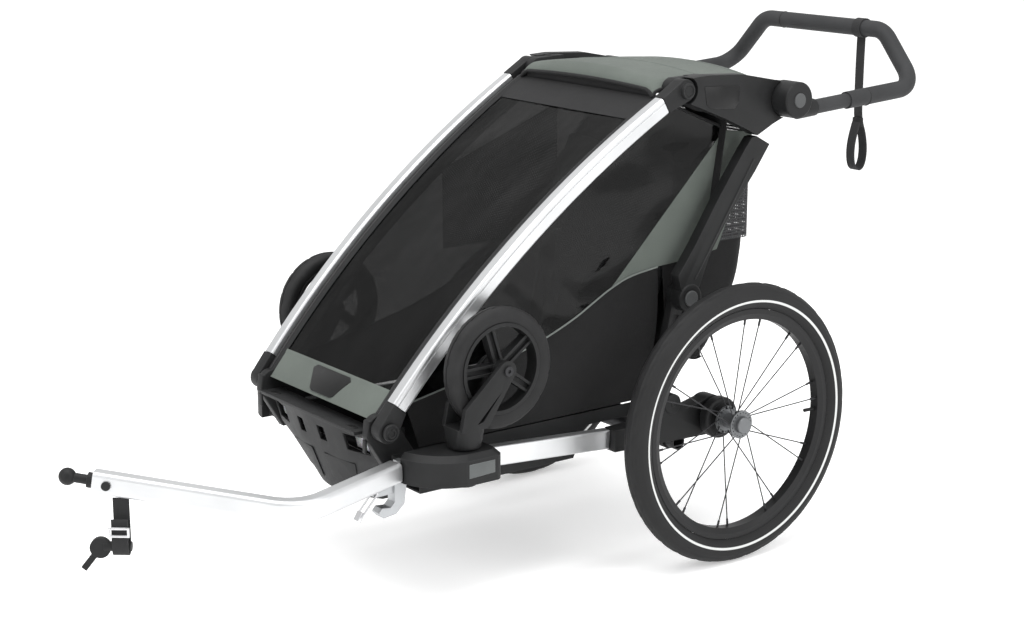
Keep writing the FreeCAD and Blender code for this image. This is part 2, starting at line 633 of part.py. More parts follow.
# ---- top plates, uprights and links ----
def top_plate():
    """Moulded side plate that joins the pillar, the upright and the handle."""
    hy, hz = HANDLE_PIVOT
    outline = [(-58, 849), (-20, 851), (60, 847), (hy - 8, hz + 31), (hy + 6, hz - 30), (hy - 26, hz - 42),
               (96, 738), (78, 748), (20, 774), (-62, 806)]
    x0, x1 = PLATE_X
    main = side_plate(outline, x0, x1)
    main = rounded(main, 5.0, lambda e: runs_along(e, V(1, 0, 0)))
    main = main.cut(along_x(HEAD_PIVOT, 22.0 + GAP + 1.0, x0 - 1, x1 + 1))
    main = main.cut(along_x(HANDLE_PIVOT, 33.0, x1 - 8, x1 + 1))
    ear = side_plate([(-72, 847), (-10, 849), (-10, 785), (-72, 811)], INNER_X[0], HEAD_X[0] - GAP)
    ear = ear.fuse(along_x(HEAD_PIVOT, 19.0, INNER_X[0], HEAD_X[0] - GAP))
    ear = ear.fuse(side_plate([(-38, 849), (-10, 849), (-10, 787), (-38, 799)], INNER_X[0], x0 + 0.5))
    disc = along_x(HANDLE_PIVOT, 30.0, x0, x1 - 8)
    axis = along_x(HANDLE_PIVOT, HANDLE_PIN_R, x1 - 9, HANDLE_WELL - 3)
    return main.fuse(ear).fuse(disc).fuse(axis).removeSplitter()


KNEE_PIN_R = 6.0


def rear_upright():
    """Deep black upright from the top plate down to the knee."""
    outline = [(128, 720), (96, 676), (40, 608), (-8, 536), (-30, 484), (-70, 484), (-78, 510),
               (-40, 560), (14, 640), (70, 716), (86, 735), (95.8, 737.2)]
    x0, x1 = PLATE_X[0] + 2, PLATE_X[1] - 2
    body = side_plate(outline, x0, x1)
    knee = along_x(KNEE, 25.0, x0 - 2, x1 + 2)
    knee = rounded(knee, 3.0, lambda e: e.CenterOfMass.x > x1 + 1.9)
    body = body.fuse(knee).cut(along_x(KNEE, 14.0 + RUN, x1 - 10, x1 + 3))
    body = body.cut(along_x(KNEE, KNEE_PIN_R + RUN, x0 - 3, PLATE_X[0] + 9))
    return body.cut(top_plate()).removeSplitter()


def knee_button():
    """Round release button in the knee joint."""
    x1 = PLATE_X[1]
    button = along_x(KNEE, 14.0, x1 - 7, x1 + 3)
    return rounded(button, 1.5, lambda e: e.CenterOfMass.x > x1 + 2.9)


def knee_link():
    """Short link from the hip pin up to the knee."""
    d = V(0, KNEE[0] - HIP_PIVOT[0], KNEE[1] - HIP_PIVOT[1]).normalize()
    side = V(0, -d.z, d.y)
    a, b = p(0, HIP_PIVOT), p(0, KNEE)
    outline = [(q.y, q.z) for q in (a + side * 13, b + side * 13, b - side * 13, a - side * 13)]
    x0, x1 = INNER_X
    body = side_plate(outline, x0, x1)
    body = body.fuse(along_x(KNEE, 18.0, x0, x1)).fuse(along_x(HIP_PIVOT, 15.5, x0, x1))
    pocket = [(q.y, q.z) for q in (a + side * 7 + d * 30, b + side * 7 - d * 34, b - side * 7 - d * 34,
                                   a - side * 7 + d * 30)]
    body = body.cut(side_plate(pocket, x1 - 4, x1 + 1))
    pin = along_x(KNEE, KNEE_PIN_R, x1 - 1, PLATE_X[0] + 8)
    return body.cut(along_x(HIP_PIVOT, 7.0 + RUN, x0 - 1, x1 + 1)).fuse(pin).removeSplitter()


REAR_BAR = (112.0, 806.0)


def rear_bar():
    """Cross tube between the top plates behind the roof."""
    half = PLATE_X[0] - 0.05
    return along_x(REAR_BAR, 11.0, -half, half).cut(along_x(REAR_BAR, 9.0, -half - 1, half + 1))


def roof_fabric():
    """Crowned roof sheet between the top plates."""
    half = INNER_X[0] - 1.5
    lift = 16.0
    front, rear = -84.0, 150.0
    z0 = 838.0
    thick = 3.0
    a, b, c = V(-half, front, z0), V(0, front, z0 + lift), V(half, front, z0)
    low = Part.Arc(a, b, c).toShape()
    down = V(0, 0, -thick)
    top = Part.Arc(a - down, b - down, c - down).toShape()
    face = Part.Face(Part.Wire([low, Part.makeLine(c, c - down), top, Part.makeLine(a - down, a)]))
    return face.extrude(V(0, rear - front, -14))


# ---- handle ----
def grip_points():
    start = V(GRIP_X, HANDLE_PIVOT[0] + 8, HANDLE_PIVOT[1] - 21)
    corner = V(GRIP_X, *GRIP_CORNER)
    top = V(GRIP_TOP_X, *GRIP_TOP)
    left = [start, corner, top]
    return left + [V(-q.x, q.y, q.z) for q in reversed(left)]


GRIP_BENDS = [46, 46, 46, 46]


def handle_tube():
    """Bent tube of the push handle."""
    outer = round_tube(grip_points(), GRIP_BENDS, HANDLE_R)
    inner = round_tube(grip_points(), GRIP_BENDS, HANDLE_R - 2)
    return outer.cut(inner)


def handle_grip():
    """Foam sleeve over the handle's bends and bar."""
    points = grip_points()
    d = (points[1] - points[0]).normalize()
    start = points[0] + d * 128
    far = V(-start.x, start.y, start.z)
    way = [start] + points[1:5] + [far]
    return round_tube(way, GRIP_BENDS, FOAM_R).cut(round_tube(way, GRIP_BENDS, HANDLE_R + 0.1))


HANDLE_BUTTON_R = 13.0
HANDLE_WELL = 255.0
HANDLE_PIN_R = 6.0


def handle_hub():
    """Round housing at the root of each handle arm, with a well for its button."""
    x0, x1 = PLATE_X[1] - 7.0, 266.0
    body = along_x(HANDLE_PIVOT, 32.0, x0, x1)
    body = rounded(body, 4.0, lambda e: e.CenterOfMass.x > x1 - 0.1)
    points = grip_points()
    way = (points[1] - points[0]).normalize()
    sleeve = bar(points[0] + way * 4, points[0] + way * 46, 15.4)
    body = body.fuse(sleeve).cut(bar(points[0] - way * 6, points[0] + way * 60, HANDLE_R + 0.05))
    body = body.fuse(along_x(HANDLE_PIVOT, 18.0, x0, x1 - 5))
    body = body.cut(along_x(HANDLE_PIVOT, HANDLE_BUTTON_R + RUN, HANDLE_WELL, x1 + 1))
    body = body.cut(along_x(HANDLE_PIVOT, HANDLE_PIN_R + RUN, x0 - 1, x1))
    return body.cut(handle_tube()).removeSplitter()


def handle_button():
    """Grey push button in the middle of the housing."""
    button = along_x(HANDLE_PIVOT, HANDLE_BUTTON_R, HANDLE_WELL + 3.6, 268.5)
    return rounded(button, 2.0, lambda e: e.CenterOfMass.x > 268.4)


STRAP_W = 20.0
STRAP_T = 2.4


def flat_strap(points, wide, thick):
    """A webbing strap of this width across X that follows (y, z) points, closed or not."""
    left, right = [], []
    for i, q in enumerate(points):
        before = points[max(i - 1, 0)]
        after = points[min(i + 1, len(points) - 1)]
        dy, dz = after[0] - before[0], after[1] - before[1]
        n = math.hypot(dy, dz)
        left.append((q[0] - dz / n * thick / 2, q[1] + dy / n * thick / 2))
        right.append((q[0] + dz / n * thick / 2, q[1] - dy / n * thick / 2))
    return side_plate(left + right[::-1], -wide / 2, wide / 2)


WRIST_X = 103.0


def wrist_strap():
    """Wrist strap that hangs from the handle's bar and ends in a loop."""
    y, z = GRIP_TOP
    around = along_x((y, z), FOAM_R + 2.6, WRIST_X - STRAP_W / 2, WRIST_X + STRAP_W / 2)
    around = around.cut(along_x((y, z), FOAM_R + 0.2, WRIST_X - 30, WRIST_X + 30))
    drop = [(y, z - FOAM_R - 2.2), (y - 1, z - 60), (y - 1, z - 120), (y, z - 172)]
    hang = flat_strap(drop, STRAP_W, STRAP_T).translated(V(WRIST_X, 0, 0))
    loop = [(y + 1.4, z - 170), (y + 9, z - 190), (y + 15, z - 218), (y + 15, z - 244), (y + 9, z - 262),
            (y, z - 268), (y - 9, z - 262), (y - 15, z - 244), (y - 15, z - 218), (y - 9, z - 190),
            (y - 1.4, z - 170)]
    ring = flat_strap(loop, STRAP_W, STRAP_T).translated(V(WRIST_X, 0, 0))
    return around.fuse(hang).fuse(ring).removeSplitter()


# ---- cabin ----
SIDE_ANGLES = [LOW_ANGLE - 1 + i * (TOP_ANGLE - LOW_ANGLE - 1) / 5 for i in range(6)]


SEAM = [(-612.0, 363.0), (-500.0, 384.0), (-357.0, 419.0), (-271.0, 452.0), (-222.0, 479.0), (-191.0, 495.0),
        (-150.0, 511.0), (-86.0, 519.0)]
SIDE_X = (178.6, 180.6)


def side_window():
    """Clear side sheet above the seam."""
    under_pillar = [polar(ARC, a, ARC_R - 25) for a in SIDE_ANGLES]
    outline = under_pillar + [(-60, 800), (-20, 782), (64, 748), (-188, 497)] + SEAM[4::-1]
    return side_plate(outline, *SIDE_X)


def side_skirt():
    """Fabric of the side: a coloured triangle up to the top plate, and the dark skirt down to the rail."""
    seam_edge = [(y, z - 2.5) for y, z in SEAM[7:4:-1]]
    gusset = [(66, 748), (72, 742), (14, 652), (-36, 580), (-84, 522)] + seam_edge
    skirt = [(-586, 336)] + SEAM[1:]
    skirt += [(-84, 470), (-104, 420), (-118, 330), (-118, 288), (-400, 287), (-586, 287)]
    lowered = [(y, z - 1.5) for y, z in skirt]
    return side_plate(gusset, *SIDE_X).fuse(side_plate(lowered, *SIDE_X)).removeSplitter()


def seat_cushion():
    """Padded seat on the pan."""
    pad = box(-166, 166, -366, -118, 263.5, 304)
    return rounded(pad, 14.0, lambda e: e.CenterOfMass.z > 303)


def seat_back():
    """Padded back rest."""
    outline = [(-122, 309), (-90, 300), (40, 690), (10, 700)]
    pad = side_plate(outline, -162, 162)
    return rounded(pad, 9.0, lambda e: not runs_along(e, V(1, 0, 0)))


def harness():
    """Five-point harness: two shoulder straps with pads, a lap strap and the buckle."""
    made = []
    rise = V(0, 130, 390).normalize()
    for side in (1, -1):
        low = V(side * 34, -141, 322)
        lift = 300
        strap = Part.makeBox(24, 3, lift, V(-12, -3, 0))
        pad = Part.makeBox(46, 12, 150, V(-23, -16, 120))
        piece = strap.fuse(pad.fuse(Part.makeBox(20, 8, 20, V(-10, -6, 125))))
        piece.rotate(V(0, 0, 0), V(1, 0, 0), -math.degrees(math.atan2(rise.y, rise.z)))
        piece.translate(low)
        made.append(piece)
    buckle = box(-22, 22, -168, -150, 318, 366)
    made.append(rounded(buckle, 5.0, lambda e: runs_along(e, V(0, 1, 0))))
    crotch = box(-13, 13, -163, -160, 304.4, 317.6)
    made.append(crotch)
    return Part.Compound(made)


def rear_bag():
    """Cargo bag behind the seat: a thin pocket open at the top, with the mesh back above it."""
    half = 172.0
    outer = side_plate([(20, 545), (134, 545), (134, 530), (120, 470), (80, 408), (52, 352), (20, 330)],
                       -half, half)
    hollow = [(22, 560), (131.5, 560), (131.5, 530.4), (117.6, 471), (78, 410), (51, 357), (22, 339)]
    inner = side_plate(hollow, -half + 2.5, half - 2.5)
    back = box(-half, half, 131.5, 134, 544, 772)
    return outer.cut(inner).fuse(back).removeSplitter()


# ---- hitch ----
def arm_way():
    """The bent arm's middle line, from its rear end to its nose."""
    ball = V(*BALL)
    bend = V(*ARM_BEND)
    nose = ball + (bend - ball).normalize() * NECK
    return [V(*ARM_END), bend, nose]


def arm_section(at, way, w, t):
    """Rounded rectangular section square to the way."""
    way = V(way).normalize()
    side = way.cross(V(0, 0, 1)).normalize()
    up = side.cross(way).normalize()
    signs = ((-1, -1), (1, -1), (1, 1), (-1, 1))
    corners = [at + side * (sx * w / 2) + up * (sz * t / 2) for sx, sz in signs]
    cut = 7.0
    edges = []
    points = []
    for i, c in enumerate(corners):
        to_last = (corners[i - 1] - c).normalize()
        to_next = (corners[(i + 1) % 4] - c).normalize()
        a = c + to_last * cut
        b = c + to_next * cut
        centre = a + to_next * cut
        points.append((a, centre + (c - centre).normalize() * cut, b))
    for i, (a, m, b) in enumerate(points):
        edges.append(Part.Arc(a, m, b).toShape())
        edges.append(Part.makeLine(b, points[(i + 1) % 4][0]))
    return Part.Wire(edges)


def arm_solid(w, t):
    points = arm_way()
    return swept(route(points, [ARM_BEND_R]), arm_section(points[0], points[1] - points[0], w, t))


def hitch_arm():
    """Bent aluminium tow arm, a closed-cornered tube."""
    bend, nose = arm_way()[1:]
    way = (bend - nose).normalize()
    side = way.cross(V(0, 0, 1)).normalize()
    hole_at = nose + way * ARM_BOLT
    hole = bar(hole_at - side * ARM_W, hole_at + side * ARM_W, ARM_BOLT_R + 0.1)
    wall = 2.5
    return arm_solid(ARM_W, ARM_T).cut(arm_solid(ARM_W - 2 * wall, ARM_T - 2 * wall)).cut(hole)


def hitch_ball():
    """Ball on a neck, with a plug held in the arm's nose by a cross bolt."""
    ball = V(*BALL)
    bend, nose = arm_way()[1:]
    way = (bend - ball).normalize()
    side = way.cross(V(0, 0, 1)).normalize()
    sphere = Part.makeSphere(BALL_R, ball)
    neck = bar(ball + way * 6, nose, 7.5)
    collar = bar(nose - way * 9, nose - way * 0.2, 12.0)
    plug = bar(nose - way * 1, nose + way * 46, 12.0)
    hole_at = nose + way * ARM_BOLT
    bolt = bar(hole_at - side * (ARM_W / 2 + 1), hole_at + side * (ARM_W / 2 + 1), ARM_BOLT_R)
    heads = []
    for s in (1, -1):
        a = hole_at + side * (s * (ARM_W / 2 + 0.6))
        heads.append(bar(a, a + side * (s * 2.6), 7.0))
    return sphere.fuse(neck).fuse(collar).fuse(plug).fuse(bolt).fuse(heads[0]).fuse(heads[1])


CLIP_PIVOT = (-692.0, 238.0)
CLIP_PIN_R = 2.2
CLIP_X = (205.0, 215.0)
CLIP_WIRE = 1.6


def receiver():
    """Cast hook under the arm's root that carries the arm on the chassis, with an ear for the wire clip."""
    y = ARM_END[1]
    low = ARM_END[2] - ARM_T / 2 - 1.0
    outline = [(y + 5, 284), (y + 16.4, 284), (y + 16.4, 246), (y + 12, 214), (y - 4, 200), (y - 28, 197),
               (y - 37, 206), (y - 30, 214), (y - 14, 212), (y - 6, 220), (y - 6, low), (y + 5, low)]
    hook = side_plate(outline, 200.0, 220.5)
    hook = rounded(hook, 3.0, lambda e: runs_along(e, V(1, 0, 0)) and e.CenterOfMass.z < 215)
    py, pz = CLIP_PIVOT
    arm = side_plate([(py, pz + 6), (y - 5, pz + 7), (y - 5, pz - 5), (py, pz - 6)], *CLIP_X)
    ear = arm.fuse(along_x(CLIP_PIVOT, 6.0, *CLIP_X)).cut(along_x(CLIP_PIVOT, CLIP_PIN_R + RUN, 200, 220))
    return hook.fuse(ear).removeSplitter()


def lock_clip():
    """Sprung wire bail with a finger tab, hinged under the arm."""
    py, pz = CLIP_PIVOT
    x0, x1 = CLIP_X[0] - 2.4, CLIP_X[1] + 2.4
    pin = along_x(CLIP_PIVOT, CLIP_PIN_R, x0, x1)
    end = (py - 30, pz - 33)
    legs = bar(p(x0, CLIP_PIVOT), p(x0, end), CLIP_WIRE).fuse(bar(p(x1, CLIP_PIVOT), p(x1, end), CLIP_WIRE))
    cross = along_x(end, CLIP_WIRE, x0, x1)
    tab = side_plate([(end[0] + 7, end[1] + 6), (end[0] - 1, end[1] - 8), (end[0] - 6, end[1] - 4),
                      (end[0] + 2, end[1] + 9)], x0 + 1, x1 - 1)
    return pin.fuse(legs).fuse(cross).fuse(tab).removeSplitter()


# ---- safety strap and its hitch pin, in a frame whose X follows the arm ----
STRAP_ON_ARM = 80.0      # from the ball's centre along the arm
SAFETY_W = 25.0
SAFETY_FOLD = (-9.0, 205.0, 9.0)     # centre and radius of the strap's turn at the bottom
SAFETY_END = 250.0


def along_arm(shape):
    """Turned and moved from the strap's own frame to its place under the arm."""
    ball, bend = V(*BALL), V(*ARM_BEND)
    way = bend - ball
    placed = shape.copy()
    placed.rotate(V(0, 0, 0), V(0, 0, 1), math.degrees(math.atan2(way.y, way.x)))
    at = ball + way.normalize() * STRAP_ON_ARM
    placed.translate(V(at.x, at.y, 0))
    return placed


def safety_strap():
    """Webbing that hangs from the arm, turns up round the hitch pin and ends beside itself."""
    cy, cz, r = SAFETY_FOLD
    turn = [polar((cy, cz), -a, r) for a in range(0, 181, 15)]
    return along_arm(flat_strap([(0, 279.0)] + turn + [(cy - r, SAFETY_END)], SAFETY_W, STRAP_T))


def hitch_pin():
    """Cross pin in the strap's turn, with a round head and a finger tab."""
    cy, cz, r = SAFETY_FOLD
    rod = bar(V(-26, cy, cz), V(SAFETY_W / 2 + 3, cy, cz), r - STRAP_T / 2 - 0.2)
    disc = bar(V(-32, cy + 5, cz - 2), V(-32, cy - 5, cz - 2), 16.0)
    tab = Part.makeBox(10, 5, 36, V(-5, cy - 2.5, -44))
    tab.rotate(V(0, cy, 0), V(0, 1, 0), 38)
    tab.translate(V(-32, 0, cz - 2))
    return along_arm(rod.fuse(disc).fuse(tab).removeSplitter())


def save(name, shape):
    shape = shape.translated(V(0, SHIFT_Y, 0))
    shape.exportStep(os.path.join("parts", name + ".step"))
    good = shape.isValid() and all(s.isClosed() and s.Volume > 0 for s in shape.Solids)
    volume = shape.Volume / 1000
    print(f"{name:22s} solids {len(shape.Solids):3d} volume {volume:9.2f} cm3", "" if good else "BAD")


def main():
    os.makedirs("parts", exist_ok=True)
    for make in (tyre, rim, hub, spokes, caster_fork, caster_tyre, caster_rim, caster_bolt, knee_button,
                 handle_button, wing_button):
        piece = make()
        save(make.__name__ + "_left", piece)
        save(make.__name__ + "_right", mirrored(piece))
    for make in (wing, side_rail, front_lug, hip_bracket, hub_carrier, brake_drum, pillar, top_plate,
                 rear_upright, knee_link, handle_hub, side_window, side_skirt):
        save(make.__name__ + "s", both(make()))
    for make in (cross_tubes, brake_mount, brake_pedal, bumper, front_reflectors, floor_pan,
                 pillar_ends, roof_bow,
                 front_window, front_hem, rear_bar, roof_fabric, handle_tube, handle_grip, wrist_strap,
                 seat_cushion, seat_back, harness, rear_bag, hitch_arm, hitch_ball, receiver, lock_clip,
                 safety_strap, hitch_pin):
        save(make.__name__, make())


main()
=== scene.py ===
import json
import math

import bpy
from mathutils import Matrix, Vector, noise

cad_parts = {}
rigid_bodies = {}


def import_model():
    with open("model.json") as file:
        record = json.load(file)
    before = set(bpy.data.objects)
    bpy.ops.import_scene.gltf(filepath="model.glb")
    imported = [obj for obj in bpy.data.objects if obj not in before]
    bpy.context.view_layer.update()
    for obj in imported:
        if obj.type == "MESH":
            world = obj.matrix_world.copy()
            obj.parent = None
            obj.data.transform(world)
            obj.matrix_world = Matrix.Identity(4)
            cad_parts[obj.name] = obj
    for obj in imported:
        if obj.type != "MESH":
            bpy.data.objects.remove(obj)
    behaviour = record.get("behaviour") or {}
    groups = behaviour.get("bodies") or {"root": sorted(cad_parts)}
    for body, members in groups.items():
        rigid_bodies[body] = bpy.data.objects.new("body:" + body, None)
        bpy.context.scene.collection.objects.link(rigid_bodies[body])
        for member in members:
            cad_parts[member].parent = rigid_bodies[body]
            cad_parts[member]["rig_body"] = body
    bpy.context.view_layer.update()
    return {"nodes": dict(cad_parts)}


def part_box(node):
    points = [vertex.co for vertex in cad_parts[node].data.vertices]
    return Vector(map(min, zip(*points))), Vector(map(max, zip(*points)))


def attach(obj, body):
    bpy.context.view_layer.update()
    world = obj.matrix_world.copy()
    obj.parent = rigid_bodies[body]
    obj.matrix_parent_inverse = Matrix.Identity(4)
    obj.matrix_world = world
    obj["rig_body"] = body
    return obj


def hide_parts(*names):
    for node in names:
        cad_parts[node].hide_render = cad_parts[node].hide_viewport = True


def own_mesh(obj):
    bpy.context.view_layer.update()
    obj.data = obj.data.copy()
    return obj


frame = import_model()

bl_info = {
    "name": "Child bicycle trailer",
    "version": (1, 0, 0),
    "blender": (4, 5, 0),
    "location": "View3D > Sidebar > Trailer",
    "description": "Cloth, webbing, wheels, trim and finishes of a folding child bicycle trailer",
    "category": "Object",
}

NODES = frame["nodes"]
AXLE_Y = sum(corner.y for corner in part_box("hub_left")) / 2
AXLE_Z = sum(corner.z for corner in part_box("hub_left")) / 2


# ---- sizes and colours ----
def length(name, text, metres, low=0.0, high=2.0):
    return bpy.props.FloatProperty(name=name, description=text, default=metres, min=low, max=high,
                                   unit="LENGTH")


def colour(name, text, rgb):
    return bpy.props.FloatVectorProperty(name=name, description=text, default=rgb, min=0, max=1, size=3,
                                         subtype="COLOR")


class TrailerColours(bpy.types.PropertyGroup):
    """Colours of the finishes."""
    canopy: colour("Canopy", "Coated cloth of the roof, the hem and the gussets", (0.106, 0.120, 0.108))
    cloth: colour("Body cloth", "Coated cloth of the body and the bag", (0.0095, 0.0095, 0.0098))
    plastic: colour("Black plastic", "Moulded brackets, plates and forks", (0.0085, 0.0087, 0.0090))
    bumper: colour("Bumper", "Moulded front shell", (0.0105, 0.0108, 0.0112))
    button: colour("Buttons", "Release buttons and the hub's push cap", (0.055, 0.057, 0.058))
    rubber: colour("Tyres", "Tyre rubber", (0.011, 0.011, 0.0113))
    stripe: colour("Tyre stripe", "Reflective line on the tyre's wall", (0.62, 0.63, 0.62))
    silver: colour("Anodised", "Satin anodised aluminium", (0.60, 0.607, 0.615))
    foam: colour("Foam", "Foam sleeve of the handle", (0.024, 0.0245, 0.0255))
    floor: colour("Floor", "Studio floor", (0.92, 0.92, 0.92))


class TrailerSizes(bpy.types.PropertyGroup):
    """Sizes that a maker would change."""
    film_border: length("Film border", "Width of the cloth border round the windscreen", 0.021)
    piping: length("Piping", "Radius of the corded edge of the roof", 0.0032)
    binding: length("Binding", "Width of the light tape along the side's seam", 0.0055)
    cloth: length("Cloth thickness", "Thickness of the coated cloth", 0.0012)
    film: length("Film thickness", "Thickness of the window film", 0.0006)
    swell: length("Swell", "How far a pad's cover may puff out", 0.016)
    wrinkle: length("Wrinkles", "Depth of the side film's waves", 0.0085)
    strap: length("Wrist strap", "Width of the wrist strap", 0.020)
    safety_strap: length("Safety strap", "Width of the safety strap", 0.025)
    soften: length("Softened edge", "Rounding of the moulded parts' edges", 0.0016)


# ---- shader writing ----
class Wire:
    """A shader socket for use in expressions. Each operator adds one Math node."""

    def __init__(self, tree, socket=None):
        self.tree = tree
        self.socket = socket

    def add(self, kind, settings=None, inputs=None, out=0):
        """Adds a node of this kind: its settings first, then values or links for its sockets."""
        node = self.tree.nodes.new("ShaderNode" + kind)
        for key, value in (settings or {}).items():
            if key == "stops":
                ramp = node.color_ramp.elements
                while len(ramp) < len(value):
                    ramp.new(1.0)
                for element, (at, shade) in zip(ramp, value):
                    element.position = at
                    element.color = (shade, shade, shade, 1)
            else:
                setattr(node, key, value)
        for key, value in (inputs or {}).items():
            if isinstance(value, Wire):
                self.tree.links.new(value.socket, node.inputs[key])
            else:
                node.inputs[key].default_value = value
        return Wire(self.tree, node.outputs[out])

    def math(self, operation, *values):
        return self.add("Math", {"operation": operation}, dict(enumerate(values)))

    def __add__(self, other):
        return self.math("ADD", self, other)

    def __radd__(self, other):
        return self.math("ADD", other, self)

    def __sub__(self, other):
        return self.math("SUBTRACT", self, other)

    def __rsub__(self, other):
        return self.math("SUBTRACT", other, self)

    def __mul__(self, other):
        return self.math("MULTIPLY", self, other)

    def __rmul__(self, other):
        return self.math("MULTIPLY", other, self)

    def __truediv__(self, other):
        return self.math("DIVIDE", self, other)

    def __abs__(self):
        return self.math("ABSOLUTE", self)

    def __gt__(self, other):
        return self.math("GREATER_THAN", self, other)

    def __lt__(self, other):
        return self.math("LESS_THAN", self, other)


def rgba(rgb):
    return (*rgb, 1.0)


class Finish:
    """A material under construction: its coordinates, its noises and its shader."""

    def __init__(self, name):
        self.material = bpy.data.materials.new(name)
        self.material.use_nodes = True
        self.tree = self.material.node_tree
        self.shader = self.tree.nodes["Principled BSDF"]
        self.pen = Wire(self.tree)

    def place(self, out="Object"):
        return self.pen.add("TexCoord", {}, {}, out)

    def xyz(self, out="Object"):
        at = self.place(out)
        return [self.pen.add("SeparateXYZ", {}, {0: at}, i) for i in range(3)]

    def noise(self, per_metre, detail=2.0, stretch=None, out="Fac"):
        at = self.place()
        if stretch:
            at = self.pen.add("Mapping", {}, {"Vector": at, "Scale": stretch})
        return self.pen.add("TexNoise", {}, {"Vector": at, "Scale": per_metre, "Detail": detail}, out)

    def mix(self, factor, a, b):
        """Between two colours."""
        return self.pen.add("Mix", {"data_type": "RGBA"}, {0: factor, 6: a, 7: b}, 2)

    def between(self, value, low, high, out_low=0.0, out_high=1.0):
        return self.pen.add("MapRange", {}, {0: value, 1: low, 2: high, 3: out_low, 4: out_high})

    def bump(self, height, metres, strength=1.0, normal=None):
        inputs = {"Height": height, "Distance": metres, "Strength": strength}
        if normal:
            inputs["Normal"] = normal
        return self.pen.add("Bump", {}, inputs)

    def rounded(self, metres):
        """Normal with the edges softened."""
        return self.pen.add("Bevel", {"samples": 4}, {"Radius": metres})

    def edge(self, softened):
        """1 along a softened edge, and 0 away from it."""
        plain = self.pen.add("NewGeometry", {}, {}, "Normal")
        facing = self.pen.add("VectorMath", {"operation": "DOT_PRODUCT"}, {0: softened, 1: plain}, "Value")
        return self.between(facing, 0.995, 0.90)

    def set(self, **sockets):
        """Links or values for the shader, by socket name with _ for a space."""
        for key, value in sockets.items():
            socket = self.shader.inputs[key.replace("_", " ")]
            if isinstance(value, Wire):
                self.tree.links.new(value.socket, socket)
            else:
                socket.default_value = value
        return self.material


def weave(finish, u, v, pitch):
    """Height of a plain weave on two coordinates in metres."""
    warp = finish.pen.math("SINE", u * (math.pi / pitch))
    weft = finish.pen.math("SINE", v * (math.pi / pitch))
    over = (warp * weft) > 0.0
    return abs(warp) * over + abs(weft) * (1 - over)


def cloth_coords(finish, on_uv):
    """Two coordinates in metres that lie along the cloth."""
    if on_uv:
        u, v, _ = finish.xyz("UV")
        return u, v
    x, y, z = finish.xyz()
    nx, _, nz = [abs(n) for n in finish.xyz("Normal")]
    sideways = nx > 0.6
    return x * (1 - sideways) + y * sideways, z + (y - z) * (nz > 0.7)


def moulded(name, rgb, rough=0.46, grain=1.0, edge=0.9):
    """Moulded plastic: fine grain, soft scuffs, and edges rubbed a little lighter."""
    f = Finish(name)
    pebble = f.noise(1500.0, 1.0)
    scuff = f.between(f.noise(22.0, 5.0), 0.42, 0.68)
    scratch = f.between(f.noise(90.0, 3.0, (1.0, 0.12, 1.0)), 0.60, 0.72)
    softened = f.rounded(0.0014)
    worn = f.edge(softened) * edge
    dusty = tuple(min(1.0, c * 1.25 + 0.002) for c in rgb)
    rubbed = tuple(min(1.0, c * 2.1 + 0.012) for c in rgb)
    shade = f.mix(worn, f.mix(scuff * 0.7, rgba(rgb), rgba(dusty)), rgba(rubbed))
    return f.set(Base_Color=shade, Roughness=rough + pebble * 0.10 + scuff * 0.07 - scratch * 0.05,
                 Normal=f.bump(pebble * grain + scratch * 0.15, 0.00006, 0.55, softened),
                 Specular_IOR_Level=0.22)


def anodised(name, rgb, stretch, rough=0.30):
    """Satin anodised aluminium with a fine drawn grain along one axis."""
    f = Finish(name)
    drawn = f.noise(2600.0, 2.0, stretch)
    cloud = f.noise(9.0, 3.0)
    softened = f.rounded(0.0008)
    dull = tuple(c * 0.90 for c in rgb)
    shade = f.mix(f.between(cloud, 0.35, 0.70), rgba(rgb), rgba(dull))
    return f.set(Base_Color=shade, Metallic=0.92, Roughness=rough + drawn * 0.10 + cloud * 0.05,
                 Normal=f.bump(drawn, 0.00002, 0.5, softened))


def coated_steel(name, rgb, rough=0.36, metallic=0.25):
    """Powder-coated or plated steel with a faint orange-peel surface."""
    f = Finish(name)
    peel = f.noise(700.0, 2.0)
    cloud = f.noise(30.0, 3.0)
    softened = f.rounded(0.0006)
    light = tuple(min(1.0, c * 1.6 + 0.01) for c in rgb)
    return f.set(Base_Color=f.mix(f.edge(softened) * 0.6 + f.between(cloud, 0.5, 0.8) * 0.15, rgba(rgb),
                                  rgba(light)),
                 Metallic=metallic, Roughness=rough + cloud * 0.10,
                 Normal=f.bump(peel, 0.00005, 0.5, softened), Specular_IOR_Level=0.25)


def wheel_coords(finish, y, z):
    """Distance from an axle along X at this y and z, and the angle round it in radians."""
    _, py, pz = finish.xyz()
    dy, dz = py - y, pz - z
    return finish.pen.math("SQRT", dy * dy + dz * dz), finish.pen.math("ARCTAN2", dz, dy)


